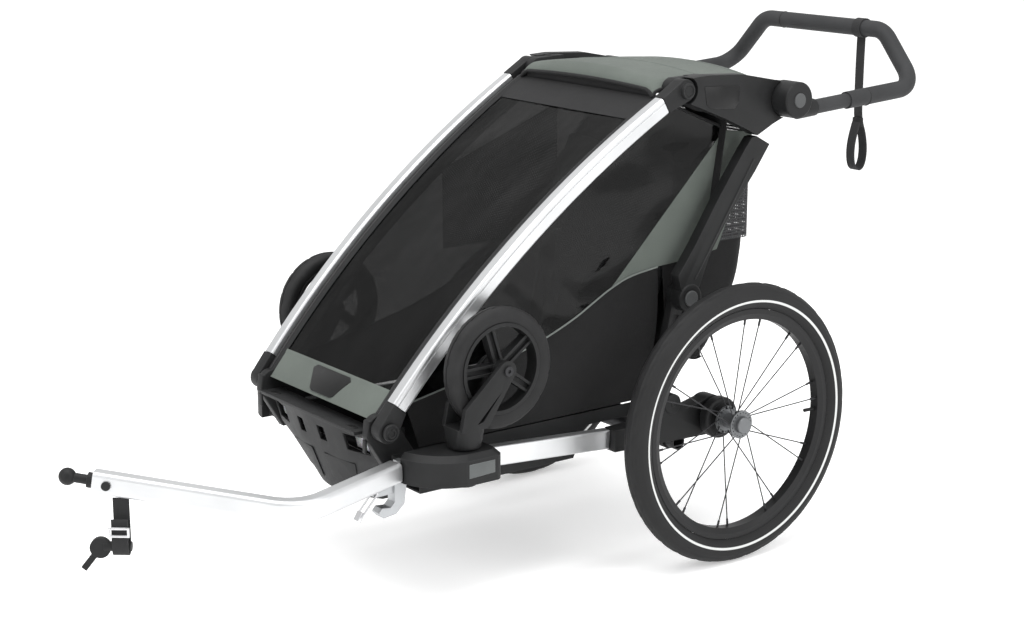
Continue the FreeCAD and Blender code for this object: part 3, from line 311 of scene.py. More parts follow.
def tyre_rubber(colours):
    """Tyre rubber: a reflective line on the wall, fine ribs below it and dust on the tread."""
    f = Finish("tyre_rubber")
    radius, angle = wheel_coords(f, AXLE_Y, AXLE_Z)
    line = f.between(abs(radius - 0.2212), 0.0023, 0.0017)
    ribs = f.pen.math("SINE", angle * 360.0) * (radius < 0.2165)
    grime = f.between(f.noise(16.0, 6.0), 0.40, 0.75)
    tread = f.between(radius, 0.2445, 0.2485)
    pores = f.noise(1200.0, 2.0)
    dusty = tuple(c * 1.7 + 0.004 for c in colours.rubber)
    shade = f.mix(grime * 0.5 + tread * 0.35, rgba(colours.rubber), rgba(dusty))
    beads = f.pen.add("TexVoronoi", {}, {"Vector": f.place(), "Scale": 900.0}, "Distance")
    shade = f.mix(line, shade, f.mix(beads, rgba(colours.stripe),
                                     rgba(tuple(c * 0.8 for c in colours.stripe))))
    return f.set(Base_Color=shade, Roughness=0.62 + grime * 0.14 - line * 0.30,
                 Normal=f.bump(pores * 0.5 + ribs * 0.5, 0.00018, 0.5), Specular_IOR_Level=0.22)


def small_tyre_rubber(colours):
    """Rubber of the stroller wheels."""
    f = Finish("stroller_tyre_rubber")
    pores = f.noise(1000.0, 3.0)
    grime = f.between(f.noise(28.0, 6.0), 0.42, 0.72)
    dusty = tuple(c * 1.8 + 0.004 for c in colours.rubber)
    return f.set(Base_Color=f.mix(grime * 0.6, rgba(colours.rubber), rgba(dusty)),
                 Roughness=0.60 + grime * 0.15,
                 Normal=f.bump(pores, 0.00016, 0.5), Specular_IOR_Level=0.22)


def coated_cloth(name, rgb, pitch=0.0011, on_uv=True, gloss=0.0, ribs=0.0):
    """Coated woven cloth: visible threads, slow shade changes and soft creases."""
    f = Finish(name)
    u, v = cloth_coords(f, on_uv)
    threads = weave(f, u, v, pitch)
    slub = f.noise(260.0, 2.0, (1.0, 0.12, 0.3))
    cloud = f.between(f.noise(7.0, 4.0), 0.35, 0.70)
    crease = f.noise(26.0, 4.0)
    height = threads * 0.9 + slub * 0.4
    if ribs:
        height = height + f.between(abs(f.pen.math("SINE", u * (math.pi / ribs))), 0.10, 0.0)
    lit = tuple(min(1.0, c * 1.32 + 0.001) for c in rgb)
    dark = tuple(c * 0.62 for c in rgb)
    shade = f.mix(threads * 0.75 + slub * 0.2, rgba(dark), f.mix(cloud, rgba(rgb), rgba(lit)))
    return f.set(Base_Color=shade, Roughness=0.74 - gloss + crease * 0.12,
                 Normal=f.bump(height, 0.00035, 0.5, f.bump(crease, 0.004, 0.35)),
                 Sheen_Weight=0.05, Sheen_Roughness=0.45, Specular_IOR_Level=0.16)


def webbing(name, rgb, width):
    """Woven webbing: chevron ribs along it and firmer edges. It reads the strap's own UV map, in metres."""
    f = Finish(name)
    u, v, _ = f.xyz("UV")
    across = abs(u * (1.0 / width) - 0.5) * 2.0
    ribs = abs(f.pen.math("SINE", v * (math.pi / 0.0013)))
    cords = abs(f.pen.math("SINE", u * (math.pi / 0.0017) + v * 900.0))
    edge = f.between(across, 0.84, 0.92)
    lit = tuple(c * 1.9 + 0.003 for c in rgb)
    return f.set(Base_Color=f.mix(ribs * 0.6 + cords * 0.3 + edge * 0.2, rgba(rgb), rgba(lit)),
                 Roughness=0.78,
                 Normal=f.bump(ribs * 0.6 + cords * 0.5 + edge * 0.7, 0.0004, 0.7),
                 Sheen_Weight=0.05, Specular_IOR_Level=0.2)


def window_film(name, alpha, shine):
    """Smoked clear film with faint ripples and wipe marks."""
    f = Finish(name)
    ripple = f.noise(11.0, 2.0, (1.0, 0.7, 0.5))
    fine = f.noise(60.0, 3.0, (1.0, 0.35, 0.6))
    wipe = f.between(f.noise(35.0, 4.0, (1.0, 0.25, 1.0)), 0.45, 0.75)
    return f.set(Base_Color=(0.002, 0.0021, 0.0021, 1.0), Roughness=0.07 + wipe * 0.07, Alpha=alpha,
                 Metallic=0.0,
                 Normal=f.bump(ripple + fine * 0.12, 0.010, 0.35), Specular_IOR_Level=shine)


def net(name, rgb, pitch, open_share, on_uv=True):
    """Knitted net: round holes through dark threads."""
    f = Finish(name)
    u, v = cloth_coords(f, on_uv)
    row = f.pen.math("FLOOR", v * (1.0 / pitch))
    shift = f.pen.math("FLOORED_MODULO", row, 2.0) * 0.5
    a = f.pen.math("FRACT", u * (1.0 / pitch) + shift) - 0.5
    b = f.pen.math("FRACT", v * (1.0 / pitch)) - 0.5
    away = f.pen.math("SQRT", a * a + b * b)
    solid = f.between(away, open_share - 0.05, open_share + 0.05)
    lit = tuple(c * 1.8 + 0.004 for c in rgb)
    return f.set(Base_Color=f.mix(solid * 0.6, rgba(rgb), rgba(lit)), Roughness=0.7, Alpha=solid,
                 Normal=f.bump(f.between(away, 0.25, 0.6), 0.0006, 0.6))


def foam(colours):
    """Closed-cell foam with a dry, finely pored skin."""
    f = Finish("foam_grip")
    pores = f.pen.add("TexVoronoi", {}, {"Vector": f.place(), "Scale": 1100.0}, "Distance")
    cloud = f.between(f.noise(14.0, 4.0), 0.4, 0.7)
    lit = tuple(c * 1.5 + 0.002 for c in colours.foam)
    return f.set(Base_Color=f.mix(cloud * 0.7 + pores * 0.2, rgba(colours.foam), rgba(lit)),
                 Roughness=0.66 + cloud * 0.08, Normal=f.bump(pores, 0.00025, 0.5), Specular_IOR_Level=0.22)


def prism_reflector():
    """Pale reflector: small moulded prisms under a clear face."""
    f = Finish("reflector")
    u, v, w = f.xyz()
    cells = f.pen.add("TexVoronoi", {"feature": "F1"}, {"Vector": f.place(), "Scale": 330.0}, "Color")
    grid = abs(f.pen.math("SINE", (u + w) * 1500.0)) * abs(f.pen.math("SINE", (v - w) * 1500.0))
    return f.set(Base_Color=f.mix(grid, rgba((0.30, 0.31, 0.31)),
                                  f.mix(0.25, rgba((0.62, 0.64, 0.64)), cells)),
                 Metallic=0.35, Roughness=0.22 + grid * 0.1, Normal=f.bump(grid, 0.0003, 0.4),
                 Coat_Weight=0.6)


def studio_floor(colours):
    """Matt pale floor with the faintest unevenness."""
    f = Finish("studio_floor")
    cloud = f.noise(1.5, 3.0)
    rgb = tuple(colours.floor)
    return f.set(Base_Color=f.mix(cloud * 0.2, rgba(rgb), rgba(tuple(c * 0.98 for c in rgb))), Roughness=0.85,
                 Specular_IOR_Level=0.1, Emission_Color=(1.0, 1.0, 1.0, 1.0), Emission_Strength=0.30)


def make_finishes(colours):
    """All the materials by name, in place of the ones that came with the frame."""
    for material in list(bpy.data.materials):
        bpy.data.materials.remove(material)
    made = [
        tyre_rubber(colours), small_tyre_rubber(colours), foam(colours), prism_reflector(),
        moulded("black_plastic", colours.plastic), moulded("bumper_plastic", colours.bumper, 0.52, 1.3),
        moulded("button_plastic", colours.button, 0.40, 0.7),
        moulded("blank_badge", (0.006, 0.006, 0.0062), 0.30, 0.4),
        moulded("zip_teeth", (0.02, 0.02, 0.021), 0.35, 0.4),
        moulded("wing_reflector", (0.075, 0.08, 0.08), 0.25, 0.6),
        coated_cloth("pull_cord", (0.55, 0.55, 0.54), 0.0007, on_uv=False),
        anodised("pillar_aluminium", colours.silver, (1.0, 0.05, 0.05)),
        anodised("arm_aluminium", colours.silver, (0.3, 0.05, 0.3), 0.33),
        anodised("hub_alloy", (0.16, 0.165, 0.17), (1.0, 1.0, 1.0), 0.42),
        anodised("cast_alloy", (0.40, 0.41, 0.42), (1.0, 1.0, 1.0), 0.38),
        coated_steel("black_paint", (0.012, 0.012, 0.0125)),
        coated_steel("dark_steel", (0.028, 0.028, 0.03), 0.38, 0.5),
        coated_steel("bright_steel", (0.55, 0.55, 0.56), 0.28, 0.95),
        coated_cloth("canopy_cloth", colours.canopy, 0.0012),
        coated_cloth("body_cloth", colours.cloth, 0.0012, ribs=0.006),
        coated_cloth("edge_cloth", (0.014, 0.014, 0.0145), 0.0009, on_uv=False, gloss=0.1),
        coated_cloth("binding_tape", (0.16, 0.175, 0.165), 0.0008),
        coated_cloth("seat_cloth", (0.085, 0.088, 0.090), 0.0013, on_uv=False),
        coated_cloth("seat_panel", (0.17, 0.18, 0.175), 0.0016, on_uv=False),
        webbing("wrist_webbing", (0.012, 0.012, 0.0125), 0.020),
        webbing("safety_webbing", (0.012, 0.012, 0.0125), 0.025),
        webbing("harness_webbing", (0.015, 0.015, 0.016), 0.024),
        window_film("smoked_film", 0.66, 0.10), window_film("side_film", 0.72, 0.24),
        net("bag_net", (0.010, 0.010, 0.011), 0.0052, 0.27),
        net("inner_net", (0.022, 0.022, 0.023), 0.0045, 0.30),
        studio_floor(colours),
    ]
    return {m.name: m for m in made}


FINISHES = {}
NODE_FINISH = {
    "tyre": "tyre_rubber", "rim": "black_paint", "hub": "hub_alloy", "spokes": "dark_steel",
    "caster_fork": "black_plastic", "caster_tyre": "stroller_tyre_rubber", "caster_rim": "black_plastic",
    "caster_bolt": "dark_steel", "knee_button": "button_plastic", "handle_button": "button_plastic",
    "wing_button": "button_plastic", "wings": "black_plastic", "side_rails": "pillar_aluminium",
    "front_lugs": "black_plastic", "hip_brackets": "black_plastic", "hub_carriers": "black_plastic",
    "brake_drums": "black_plastic", "pillars": "pillar_aluminium", "top_plates": "black_plastic",
    "rear_uprights": "black_plastic", "knee_links": "black_plastic", "handle_hubs": "black_plastic",
    "cross_tubes": "dark_steel", "brake_mount": "black_plastic", "brake_pedal": "bumper_plastic",
    "bumper": "bumper_plastic", "front_reflectors": "reflector", "floor_pan": "bumper_plastic",
    "pillar_ends": "black_plastic", "roof_bow": "dark_steel", "rear_bar": "dark_steel",
    "handle_tube": "foam_grip", "handle_grip": "foam_grip", "hitch_arm": "arm_aluminium",
    "hitch_ball": "black_plastic", "receiver": "cast_alloy", "lock_clip": "bright_steel",
    "hitch_pin": "black_plastic",
    "front_window": "smoked_film", "front_hem": "canopy_cloth", "roof_fabric": "canopy_cloth",
    "side_windows": "side_film", "side_skirts": "body_cloth", "seat_cushion": "seat_cloth",
    "seat_back": "seat_cloth",
    "harness": "harness_webbing", "rear_bag": "body_cloth", "wrist_strap": "wrist_webbing",
    "safety_strap": "safety_webbing",
}


# ---- places ----
def at(x, y, z):
    """A point whose y is measured from the wheels' axle."""
    return Vector((x, y + AXLE_Y, z))


SIDES = ((1, "left"), (-1, "right"))
FRAME_Z = 0.287
SEAT_Z = 0.304
PILLAR_LOW = (-0.638, 0.367)
PILLAR_TOP = (-0.112, 0.806)
PILLAR_BOW = 0.030
PILLAR_INNER = (0.182, 0.202)
SCREEN_RISE = 0.0026
SCREEN_GAP = 0.0012
PLATE_FACE = 0.229
SIDE_FACE = 0.1792
SEAM = ((-0.612, 0.363), (-0.500, 0.384), (-0.357, 0.419), (-0.271, 0.452), (-0.222, 0.479), (-0.191, 0.495),
        (-0.150, 0.511), (-0.086, 0.519))


def arc_of(low, top, bow):
    """Centre and radius of the arc that the pillars follow."""
    dy, dz = top[0] - low[0], top[1] - low[1]
    chord = math.hypot(dy, dz)
    radius = (chord * chord / 4 + bow * bow) / (2 * bow)
    drop = radius - bow
    return ((low[0] + top[0]) / 2 + drop * dz / chord, (low[1] + top[1]) / 2 - drop * dy / chord), radius


ARC, ARC_R = arc_of(PILLAR_LOW, PILLAR_TOP, PILLAR_BOW)


def arc_angle(y, z):
    return math.atan2(z - ARC[1], y - ARC[0])


LOW_ANGLE = arc_angle(*PILLAR_LOW)
TOP_ANGLE = arc_angle(*PILLAR_TOP)


def on_arc(angle, rise):
    """(y, z) at this angle, this far outside the pillars' middle line."""
    return ARC[0] + (ARC_R + rise) * math.cos(angle), ARC[1] + (ARC_R + rise) * math.sin(angle)


def inner_half(y):
    """Half the width between the pillars at this y."""
    share = (y - PILLAR_LOW[0]) / (PILLAR_TOP[0] - PILLAR_LOW[0])
    return PILLAR_INNER[0] + (PILLAR_INNER[1] - PILLAR_INNER[0]) * share


# ---- modelling helpers ----
def deselect():
    if bpy.context.mode != "OBJECT":
        bpy.ops.object.mode_set(mode="OBJECT")
    bpy.ops.object.select_all(action="DESELECT")


def focus(piece):
    deselect()
    piece.select_set(True)
    bpy.context.view_layer.objects.active = piece
    return piece


def settle(piece):
    """Applies the piece's place to its mesh."""
    focus(piece)
    bpy.ops.object.transform_apply(location=True, rotation=True, scale=True)
    return piece


def modify(piece, kind, **settings):
    """Adds a modifier, sets it and applies it."""
    focus(piece)
    modifier = piece.modifiers.new(kind.lower(), kind)
    for key, value in settings.items():
        setattr(modifier, key, value)
    bpy.ops.object.modifier_apply(modifier=modifier.name)
    return piece


def smooth(piece, degrees=35):
    focus(piece)
    bpy.ops.object.shade_smooth_by_angle(angle=math.radians(degrees))
    return piece


def outward(piece):
    """Merges doubles and turns every face outwards."""
    focus(piece)
    bpy.ops.object.mode_set(mode="EDIT")
    bpy.ops.mesh.select_all(action="SELECT")
    bpy.ops.mesh.remove_doubles(threshold=0.00002)
    bpy.ops.mesh.normals_make_consistent(inside=False)
    bpy.ops.object.mode_set(mode="OBJECT")
    return piece


def dress(piece, name, finish, body=None):
    """Names the piece, gives it its finish and lets it ride."""
    piece.name = name
    piece.data.name = name
    piece.data.materials.clear()
    piece.data.materials.append(FINISHES[finish])
    if body:
        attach(piece, body)
    return piece


def folds(piece, base=FRAME_Z):
    """Gives the piece a mesh of its own. Its height base is not used."""
    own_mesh(piece)


def joined(pieces):
    """One object of several."""
    deselect()
    for piece in pieces:
        piece.select_set(True)
    bpy.context.view_layer.objects.active = pieces[0]
    if len(pieces) > 1:
        bpy.ops.object.join()
    return bpy.context.object


def mirrored(piece):
    """The same piece on the other side, with its own mesh."""
    focus(piece)
    bpy.ops.object.duplicate()
    twin = bpy.context.object
    bpy.ops.transform.mirror(constraint_axis=(True, False, False), center_override=(0, 0, 0))
    settle(twin)
    bpy.ops.object.mode_set(mode="EDIT")
    bpy.ops.mesh.select_all(action="SELECT")
    bpy.ops.mesh.normals_make_consistent(inside=False)
    bpy.ops.object.mode_set(mode="OBJECT")
    return twin


def on_side(piece, side):
    """The piece itself on the left, or its mirror image in its place on the right."""
    if side > 0:
        return piece
    twin = mirrored(piece)
    bpy.data.objects.remove(piece)
    return twin


def cloth_grid(surface, columns, rows, size, thickness):
    """A sheet whose point at (u, v), each from 0 to 1, is surface(u, v). Its UV map is in metres."""
    deselect()
    bpy.ops.mesh.primitive_grid_add(x_subdivisions=columns, y_subdivisions=rows, size=1, location=(0, 0, 0))
    piece = bpy.context.object
    uv = piece.data.uv_layers.active
    for corner in uv.data:
        corner.uv = (corner.uv[0] * size[0], corner.uv[1] * size[1])
    for vertex in piece.data.vertices:
        vertex.co = surface(vertex.co.x + 0.5, vertex.co.y + 0.5)
    modify(piece, "SOLIDIFY", thickness=thickness, offset=0.0, use_even_offset=False)
    return smooth(piece, 50)


def along(points, share):
    """The point at this share of a polyline's length."""
    runs = [(b - a).length for a, b in zip(points, points[1:])]
    left = share * sum(runs)
    for a, b, run in zip(points, points[1:], runs):
        if left <= run or b is points[-1]:
            return a.lerp(b, min(1.0, left / run) if run > 0 else 0.0)
        left -= run
    return points[-1]


def eased(points, rounds=2):
    """Chaikin's corner cutting, with the two ends kept."""
    for _ in range(rounds):
        cut = [points[0]]
        for a, b in zip(points, points[1:]):
            cut += [a.lerp(b, 0.25), a.lerp(b, 0.75)]
        points = cut + [points[-1]]
    return points


def nurbs_line(points, resolution=12):
    """Points along the NURBS spline of these control points."""
    curve = bpy.data.curves.new("route", "CURVE")
    curve.dimensions = "3D"
    curve.resolution_u = resolution
    spline = curve.splines.new("NURBS")
    spline.points.add(len(points) - 1)
    for control, point in zip(spline.points, points):
        control.co = (*point, 1.0)
    spline.order_u = 3
    spline.use_endpoint_u = True
    holder = bpy.data.objects.new("route", curve)
    bpy.context.scene.collection.objects.link(holder)
    mesh = bpy.data.meshes.new_from_object(holder)
    line = [v.co.copy() for v in mesh.vertices]
    bpy.data.objects.remove(holder)
    bpy.data.meshes.remove(mesh)
    return line


def tube(points, radius, sides=10, closed_ends=True):
    """A round tube along points that are close together."""
    curve = bpy.data.curves.new("tube", "CURVE")
    curve.dimensions = "3D"
    curve.bevel_depth = radius
    curve.bevel_resolution = max(1, sides // 4)
    curve.use_fill_caps = closed_ends
    spline = curve.splines.new("POLY")
    spline.points.add(len(points) - 1)
    for control, point in zip(spline.points, points):
        control.co = (*point, 1.0)
    piece = bpy.data.objects.new("tube", curve)
    bpy.context.scene.collection.objects.link(piece)
    focus(piece)
    bpy.ops.object.convert(target="MESH")
    return smooth(outward(bpy.context.object))


def ring_piece(section, steps, centre, turned=None):
    """Spins an (x, radius) section round an axis along X through centre. A disc's ends lie on the axis."""
    deselect()
    bpy.ops.mesh.primitive_circle_add(vertices=len(section), radius=1, fill_type="NOTHING",
                                      location=(0, 0, 0))
    piece = bpy.context.object
    for vertex, (x, radius) in zip(piece.data.vertices, section):
        vertex.co = (x, 0, radius)
    bpy.ops.object.mode_set(mode="EDIT")
    bpy.ops.mesh.select_all(action="SELECT")
    bpy.ops.mesh.spin(steps=steps, angle=2 * math.pi, center=(0, 0, 0), axis=(1, 0, 0))
    bpy.ops.object.mode_set(mode="OBJECT")
    outward(piece)
    if turned:
        turned(piece)
    piece.location = centre
    return settle(piece)


def block(low, high, soften, segments=3):
    """A box between two corners with rounded edges."""
    deselect()
    low, high = Vector(low), Vector(high)
    bpy.ops.mesh.primitive_cube_add(size=1, location=(low + high) / 2, scale=high - low)
    piece = settle(bpy.context.object)
    modify(piece, "BEVEL", width=soften, segments=segments)
    return smooth(piece, 40)


def plate(points, push, soften):
    """A flat plate of this outline, extruded by push, with its edges softened."""
    deselect()
    bpy.ops.mesh.primitive_circle_add(vertices=len(points), radius=1, fill_type="NGON", location=(0, 0, 0))
    piece = bpy.context.object
    for vertex, point in zip(piece.data.vertices, points):
        vertex.co = point
    bpy.ops.object.mode_set(mode="EDIT")
    bpy.ops.mesh.select_all(action="SELECT")
    bpy.ops.mesh.extrude_region_move(TRANSFORM_OT_translate={"value": push})
    bpy.ops.mesh.select_all(action="SELECT")
    bpy.ops.mesh.normals_make_consistent(inside=False)
    bpy.ops.object.mode_set(mode="OBJECT")
    modify(piece, "BEVEL", width=soften, segments=2, limit_method="ANGLE", angle_limit=math.radians(30))
    return smooth(piece, 40)


def softened(node, width, segments=3):
    """A copy of a CAD node with its sharp edges rounded, in place of the node."""
    source = NODES[node]
    copy = bpy.data.objects.new(node + "_moulded", source.data.copy())
    bpy.context.scene.collection.objects.link(copy)
    focus(copy)
    bpy.ops.object.mode_set(mode="EDIT")
    bpy.ops.mesh.select_all(action="SELECT")
    bpy.ops.mesh.remove_doubles(threshold=0.00001)
    bpy.ops.mesh.dissolve_limited(angle_limit=math.radians(1.0))
    bpy.ops.object.mode_set(mode="OBJECT")
    modify(copy, "BEVEL", width=width, segments=segments, limit_method="ANGLE", angle_limit=math.radians(32),
           use_clamp_overlap=True, harden_normals=False)
    smooth(copy, 45)
    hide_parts(node)
    return copy


# ---- wheels ----
BIG_STEPS = 180
SMALL_STEPS = 120
TREAD_CUT = 0.0011


def tyre_section(x, middle, outer, wall, bead, count, grooves):
    """Closed (x, radius) section of a casing that opens towards the rim, with grooves round its tread."""
    section = []
    for i in range(count + 1):
        angle = bead + (2 * math.pi - 2 * bead) * i / count
        cut = TREAD_CUT if any(abs(i - count / 2 - g) < 0.5 for g in grooves) else 0.0
        section.append((x + (outer - cut) * math.sin(angle), middle - (outer - cut) * math.cos(angle)))
    inner_count = count // 2
    for i in range(inner_count + 1):
        angle = 2 * math.pi - bead - (2 * math.pi - 2 * bead) * i / inner_count
        section.append((x + (outer - wall) * math.sin(angle), middle - (outer - wall) * math.cos(angle)))
    return section


def cut_tread(piece, x, tread_radius, steps, half_width, spacing, slope, depth):
    """Presses slanted sipes into the tread's points."""
    for vertex in piece.data.vertices:
        radius = math.hypot(vertex.co.y, vertex.co.z)
        across = abs(vertex.co.x - x)
        if radius < tread_radius or across > half_width:
            continue
        step = round(math.atan2(vertex.co.z, vertex.co.y) / (2 * math.pi) * steps)
        if (step + round(across * slope)) % spacing == 0:
            scale = (radius - depth) / radius
            vertex.co.y *= scale
            vertex.co.z *= scale


class TRAILER_OT_wheels(bpy.types.Operator):
    """Makes the big wheels' tyres with their tread, and the stroller wheels' tyres"""
    bl_idname = "trailer.wheels"
    bl_label = "Wheels"

    def execute(self, context):
        for name in ("left", "right"):
            low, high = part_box("tyre_" + name)
            wide = (high.x - low.x) / 2
            outer = (high.z - low.z) / 2
            section = tyre_section(0, outer - wide, wide - 0.0001, wall=0.0035, bead=math.radians(31),
                                   count=44, grooves=(-9, -6.5, -3, 0, 3, 6.5, 9))

            def big_tread(piece):
                cut_tread(piece, 0, outer - 0.010, BIG_STEPS, 0.0185, spacing=5, slope=260, depth=TREAD_CUT)

            piece = ring_piece(section, BIG_STEPS, (low + high) / 2, big_tread)
            smooth(piece, 50)
            dress(piece, "tread_" + name, "tyre_rubber", "wheel_" + name)
            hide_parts("tyre_" + name)
            low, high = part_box("caster_tyre_" + name)
            half = (high.x - low.x) / 2
            outer = (high.z - low.z) / 2
            inner = outer - 0.025
            rim = [(-half * 0.72, inner), (-half * 0.9, inner + 0.006), (-half * 0.99, inner + 0.012),
                   (-half * 0.97, outer - 0.0075), (-half * 0.80, outer - 0.0035),
                   (-half * 0.55, outer - 0.0012), (-half * 0.28, outer - 0.0003), (-half * 0.10, outer),
                   (-half * 0.05, outer - 0.0016)]
            section = rim + [(-x, r) for x, r in reversed(rim)]

            def small_tread(piece):
                cut_tread(piece, 0, outer - 0.009, SMALL_STEPS, half, spacing=8, slope=300, depth=0.0016)

            piece = ring_piece(section, SMALL_STEPS, (low + high) / 2, small_tread)
            smooth(piece, 50)
            dress(piece, "stroller_tread_" + name, "stroller_tyre_rubber", "caster_wheel_" + name)
            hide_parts("caster_tyre_" + name)
        return {"FINISHED"}


# ---- windscreen ----
HEM_TOP = arc_angle(-0.639, 0.394)
HEM_LOW = arc_angle(-0.670, 0.346)
SCREEN_END = TOP_ANGLE - math.radians(0.4)
BAND_ANGLE = math.radians(1.9)
BAND_WIDE = 0.39
HEM_WIDE = 0.322


class TRAILER_OT_windscreen(bpy.types.Operator):
    """Makes the smoked windscreen, its border with a zip, the hem with a blank badge and the zip pulls"""
    bl_idname = "trailer.windscreen"
    bl_label = "Windscreen"

    def execute(self, context):
        sizes = context.scene.trailer_sizes
        border = sizes.film_border

        def film(u, v):
            angle = HEM_TOP + (SCREEN_END - HEM_TOP) * v
            y, z = on_arc(angle, SCREEN_RISE)
            across = 2 * u - 1
            half = inner_half(y) - border + 0.001
            x = half * across
            sag = 0.0035 * (1 - across * across) * math.sin(math.pi * v)
            wave = noise.noise(Vector((x * 7, v * 5.0, 1.7))) * 0.0030
            wave *= (1 - across ** 4) * math.sin(math.pi * v)
            y, z = on_arc(angle, SCREEN_RISE - sag + wave)
            return at(x, y, z)

        long = ARC_R * abs(SCREEN_END - HEM_TOP)
        wide = 2 * (inner_half(-0.37) - border)
        piece = cloth_grid(film, 40, 72, (wide, long), sizes.film)
        dress(piece, "windscreen_film", "smoked_film", "pillars")
        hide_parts("front_window")

        def side_strip(side):
            def strip(u, v):
                angle = HEM_LOW + (SCREEN_END - HEM_LOW) * v
                y, z = on_arc(angle, 0)
                roll = 0.0012 * math.sin(math.pi * min(1.0, u * 1.02)) + 0.0010 * (abs(u - 0.62) < 0.07)
                half = inner_half(y) - SCREEN_GAP
                y, z = on_arc(angle, SCREEN_RISE + 0.0012 + roll)
                return at(side * (half - border * (1 - u)), y, z)
            return strip

        full = ARC_R * abs(SCREEN_END - HEM_LOW)
        for side, name in SIDES:
            strip = cloth_grid(side_strip(side), 16, 80, (border, full), sizes.cloth)
            if side < 0:
                outward(strip)
            dress(strip, "windscreen_border_" + name, "edge_cloth", "pillars")
            line = []
            for i in range(90):
                angle = HEM_LOW + (SCREEN_END - HEM_LOW) * i / 89
                y, _ = on_arc(angle, 0)
                y, z = on_arc(angle, SCREEN_RISE + 0.0030)
                line.append(at(side * (inner_half(y) - SCREEN_GAP - border * 0.40), y, z))
            zip_line = tube(line, 0.0014, 8)
            dress(zip_line, "windscreen_zip_" + name, "zip_teeth", "pillars")

        def top_band(u, v):
            angle = SCREEN_END + BAND_ANGLE * (1 - v)
            across = 2 * u - 1
            y, z = on_arc(angle, 0)
            half = inner_half(y) - SCREEN_GAP
            y, z = on_arc(angle, SCREEN_RISE + 0.0008 + 0.0008 * math.sin(math.pi * v))
            return at(half * across, y, z)

        deep = ARC_R * BAND_ANGLE
        piece = cloth_grid(top_band, 36, 6, (BAND_WIDE, deep), sizes.cloth)
        dress(piece, "windscreen_top_band", "edge_cloth", "pillars")

        def hem(u, v):
            angle = HEM_LOW + (HEM_TOP - HEM_LOW) * v
            across = 2 * u - 1
            y, z = on_arc(angle, 0)
            half = inner_half(y) - border + 0.0005
            puff = 0.0022 * (1 - across ** 4) * math.sin(math.pi * v) ** 0.5
            puff += 0.0008 * (v > 0.93) + 0.0006 * (v < 0.06)
            y, z = on_arc(angle, SCREEN_RISE + 0.0014 + puff)
            return at(half * across, y, z)

        deep = ARC_R * abs(HEM_TOP - HEM_LOW)
        piece = cloth_grid(hem, 44, 16, (HEM_WIDE, deep), sizes.cloth)
        dress(piece, "windscreen_hem", "canopy_cloth", "pillars")
        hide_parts("front_hem")
        badge_outline = ((-0.050, 0.90), (0.050, 0.90), (0.058, 0.78), (0.036, 0.16), (0.028, 0.10),
                         (-0.028, 0.10), (-0.036, 0.16), (-0.058, 0.78))
        points = []
        for x, v in badge_outline:
            angle = HEM_LOW + (HEM_TOP - HEM_LOW) * v
            points.append(at(x, *on_arc(angle, SCREEN_RISE + 0.0034)))
        normal = Vector((0, math.cos(HEM_LOW), math.sin(HEM_LOW)))
        badge = plate(points, normal * 0.0016, 0.0006)
        dress(badge, "hem_badge", "blank_badge", "pillars")

        for side, name in SIDES:
            y, z = on_arc(HEM_LOW, SCREEN_RISE + 0.006)
            top = at(side * 0.166, y - 0.002, z - 0.004)
            slider = block(top + Vector((-0.004, -0.0035, -0.006)), top + Vector((0.004, 0.0035, 0.006)),
                           0.0015)
            loop = tube([top + Vector((0.0016 * math.sin(t * 0.9), -0.002 - 0.0012 * t, -0.005 - 0.0026 * t))
                         for t in range(9)], 0.0011, 8)
            end = top + Vector((0.0012, -0.012, -0.027))
            tab = block(end + Vector((-0.0045, -0.0018, -0.022)), end + Vector((0.0045, 0.0018, 0.001)),
                        0.0012)
            dress(slider, "zip_slider_" + name, "dark_steel", "pillars")
            dress(loop, "zip_pull_loop_" + name, "pull_cord", "pillars")
            dress(tab, "zip_pull_tab_" + name, "black_plastic", "pillars")
        return {"FINISHED"}


# ---- sides of the cabin ----
ZIP_WIDE = 0.026


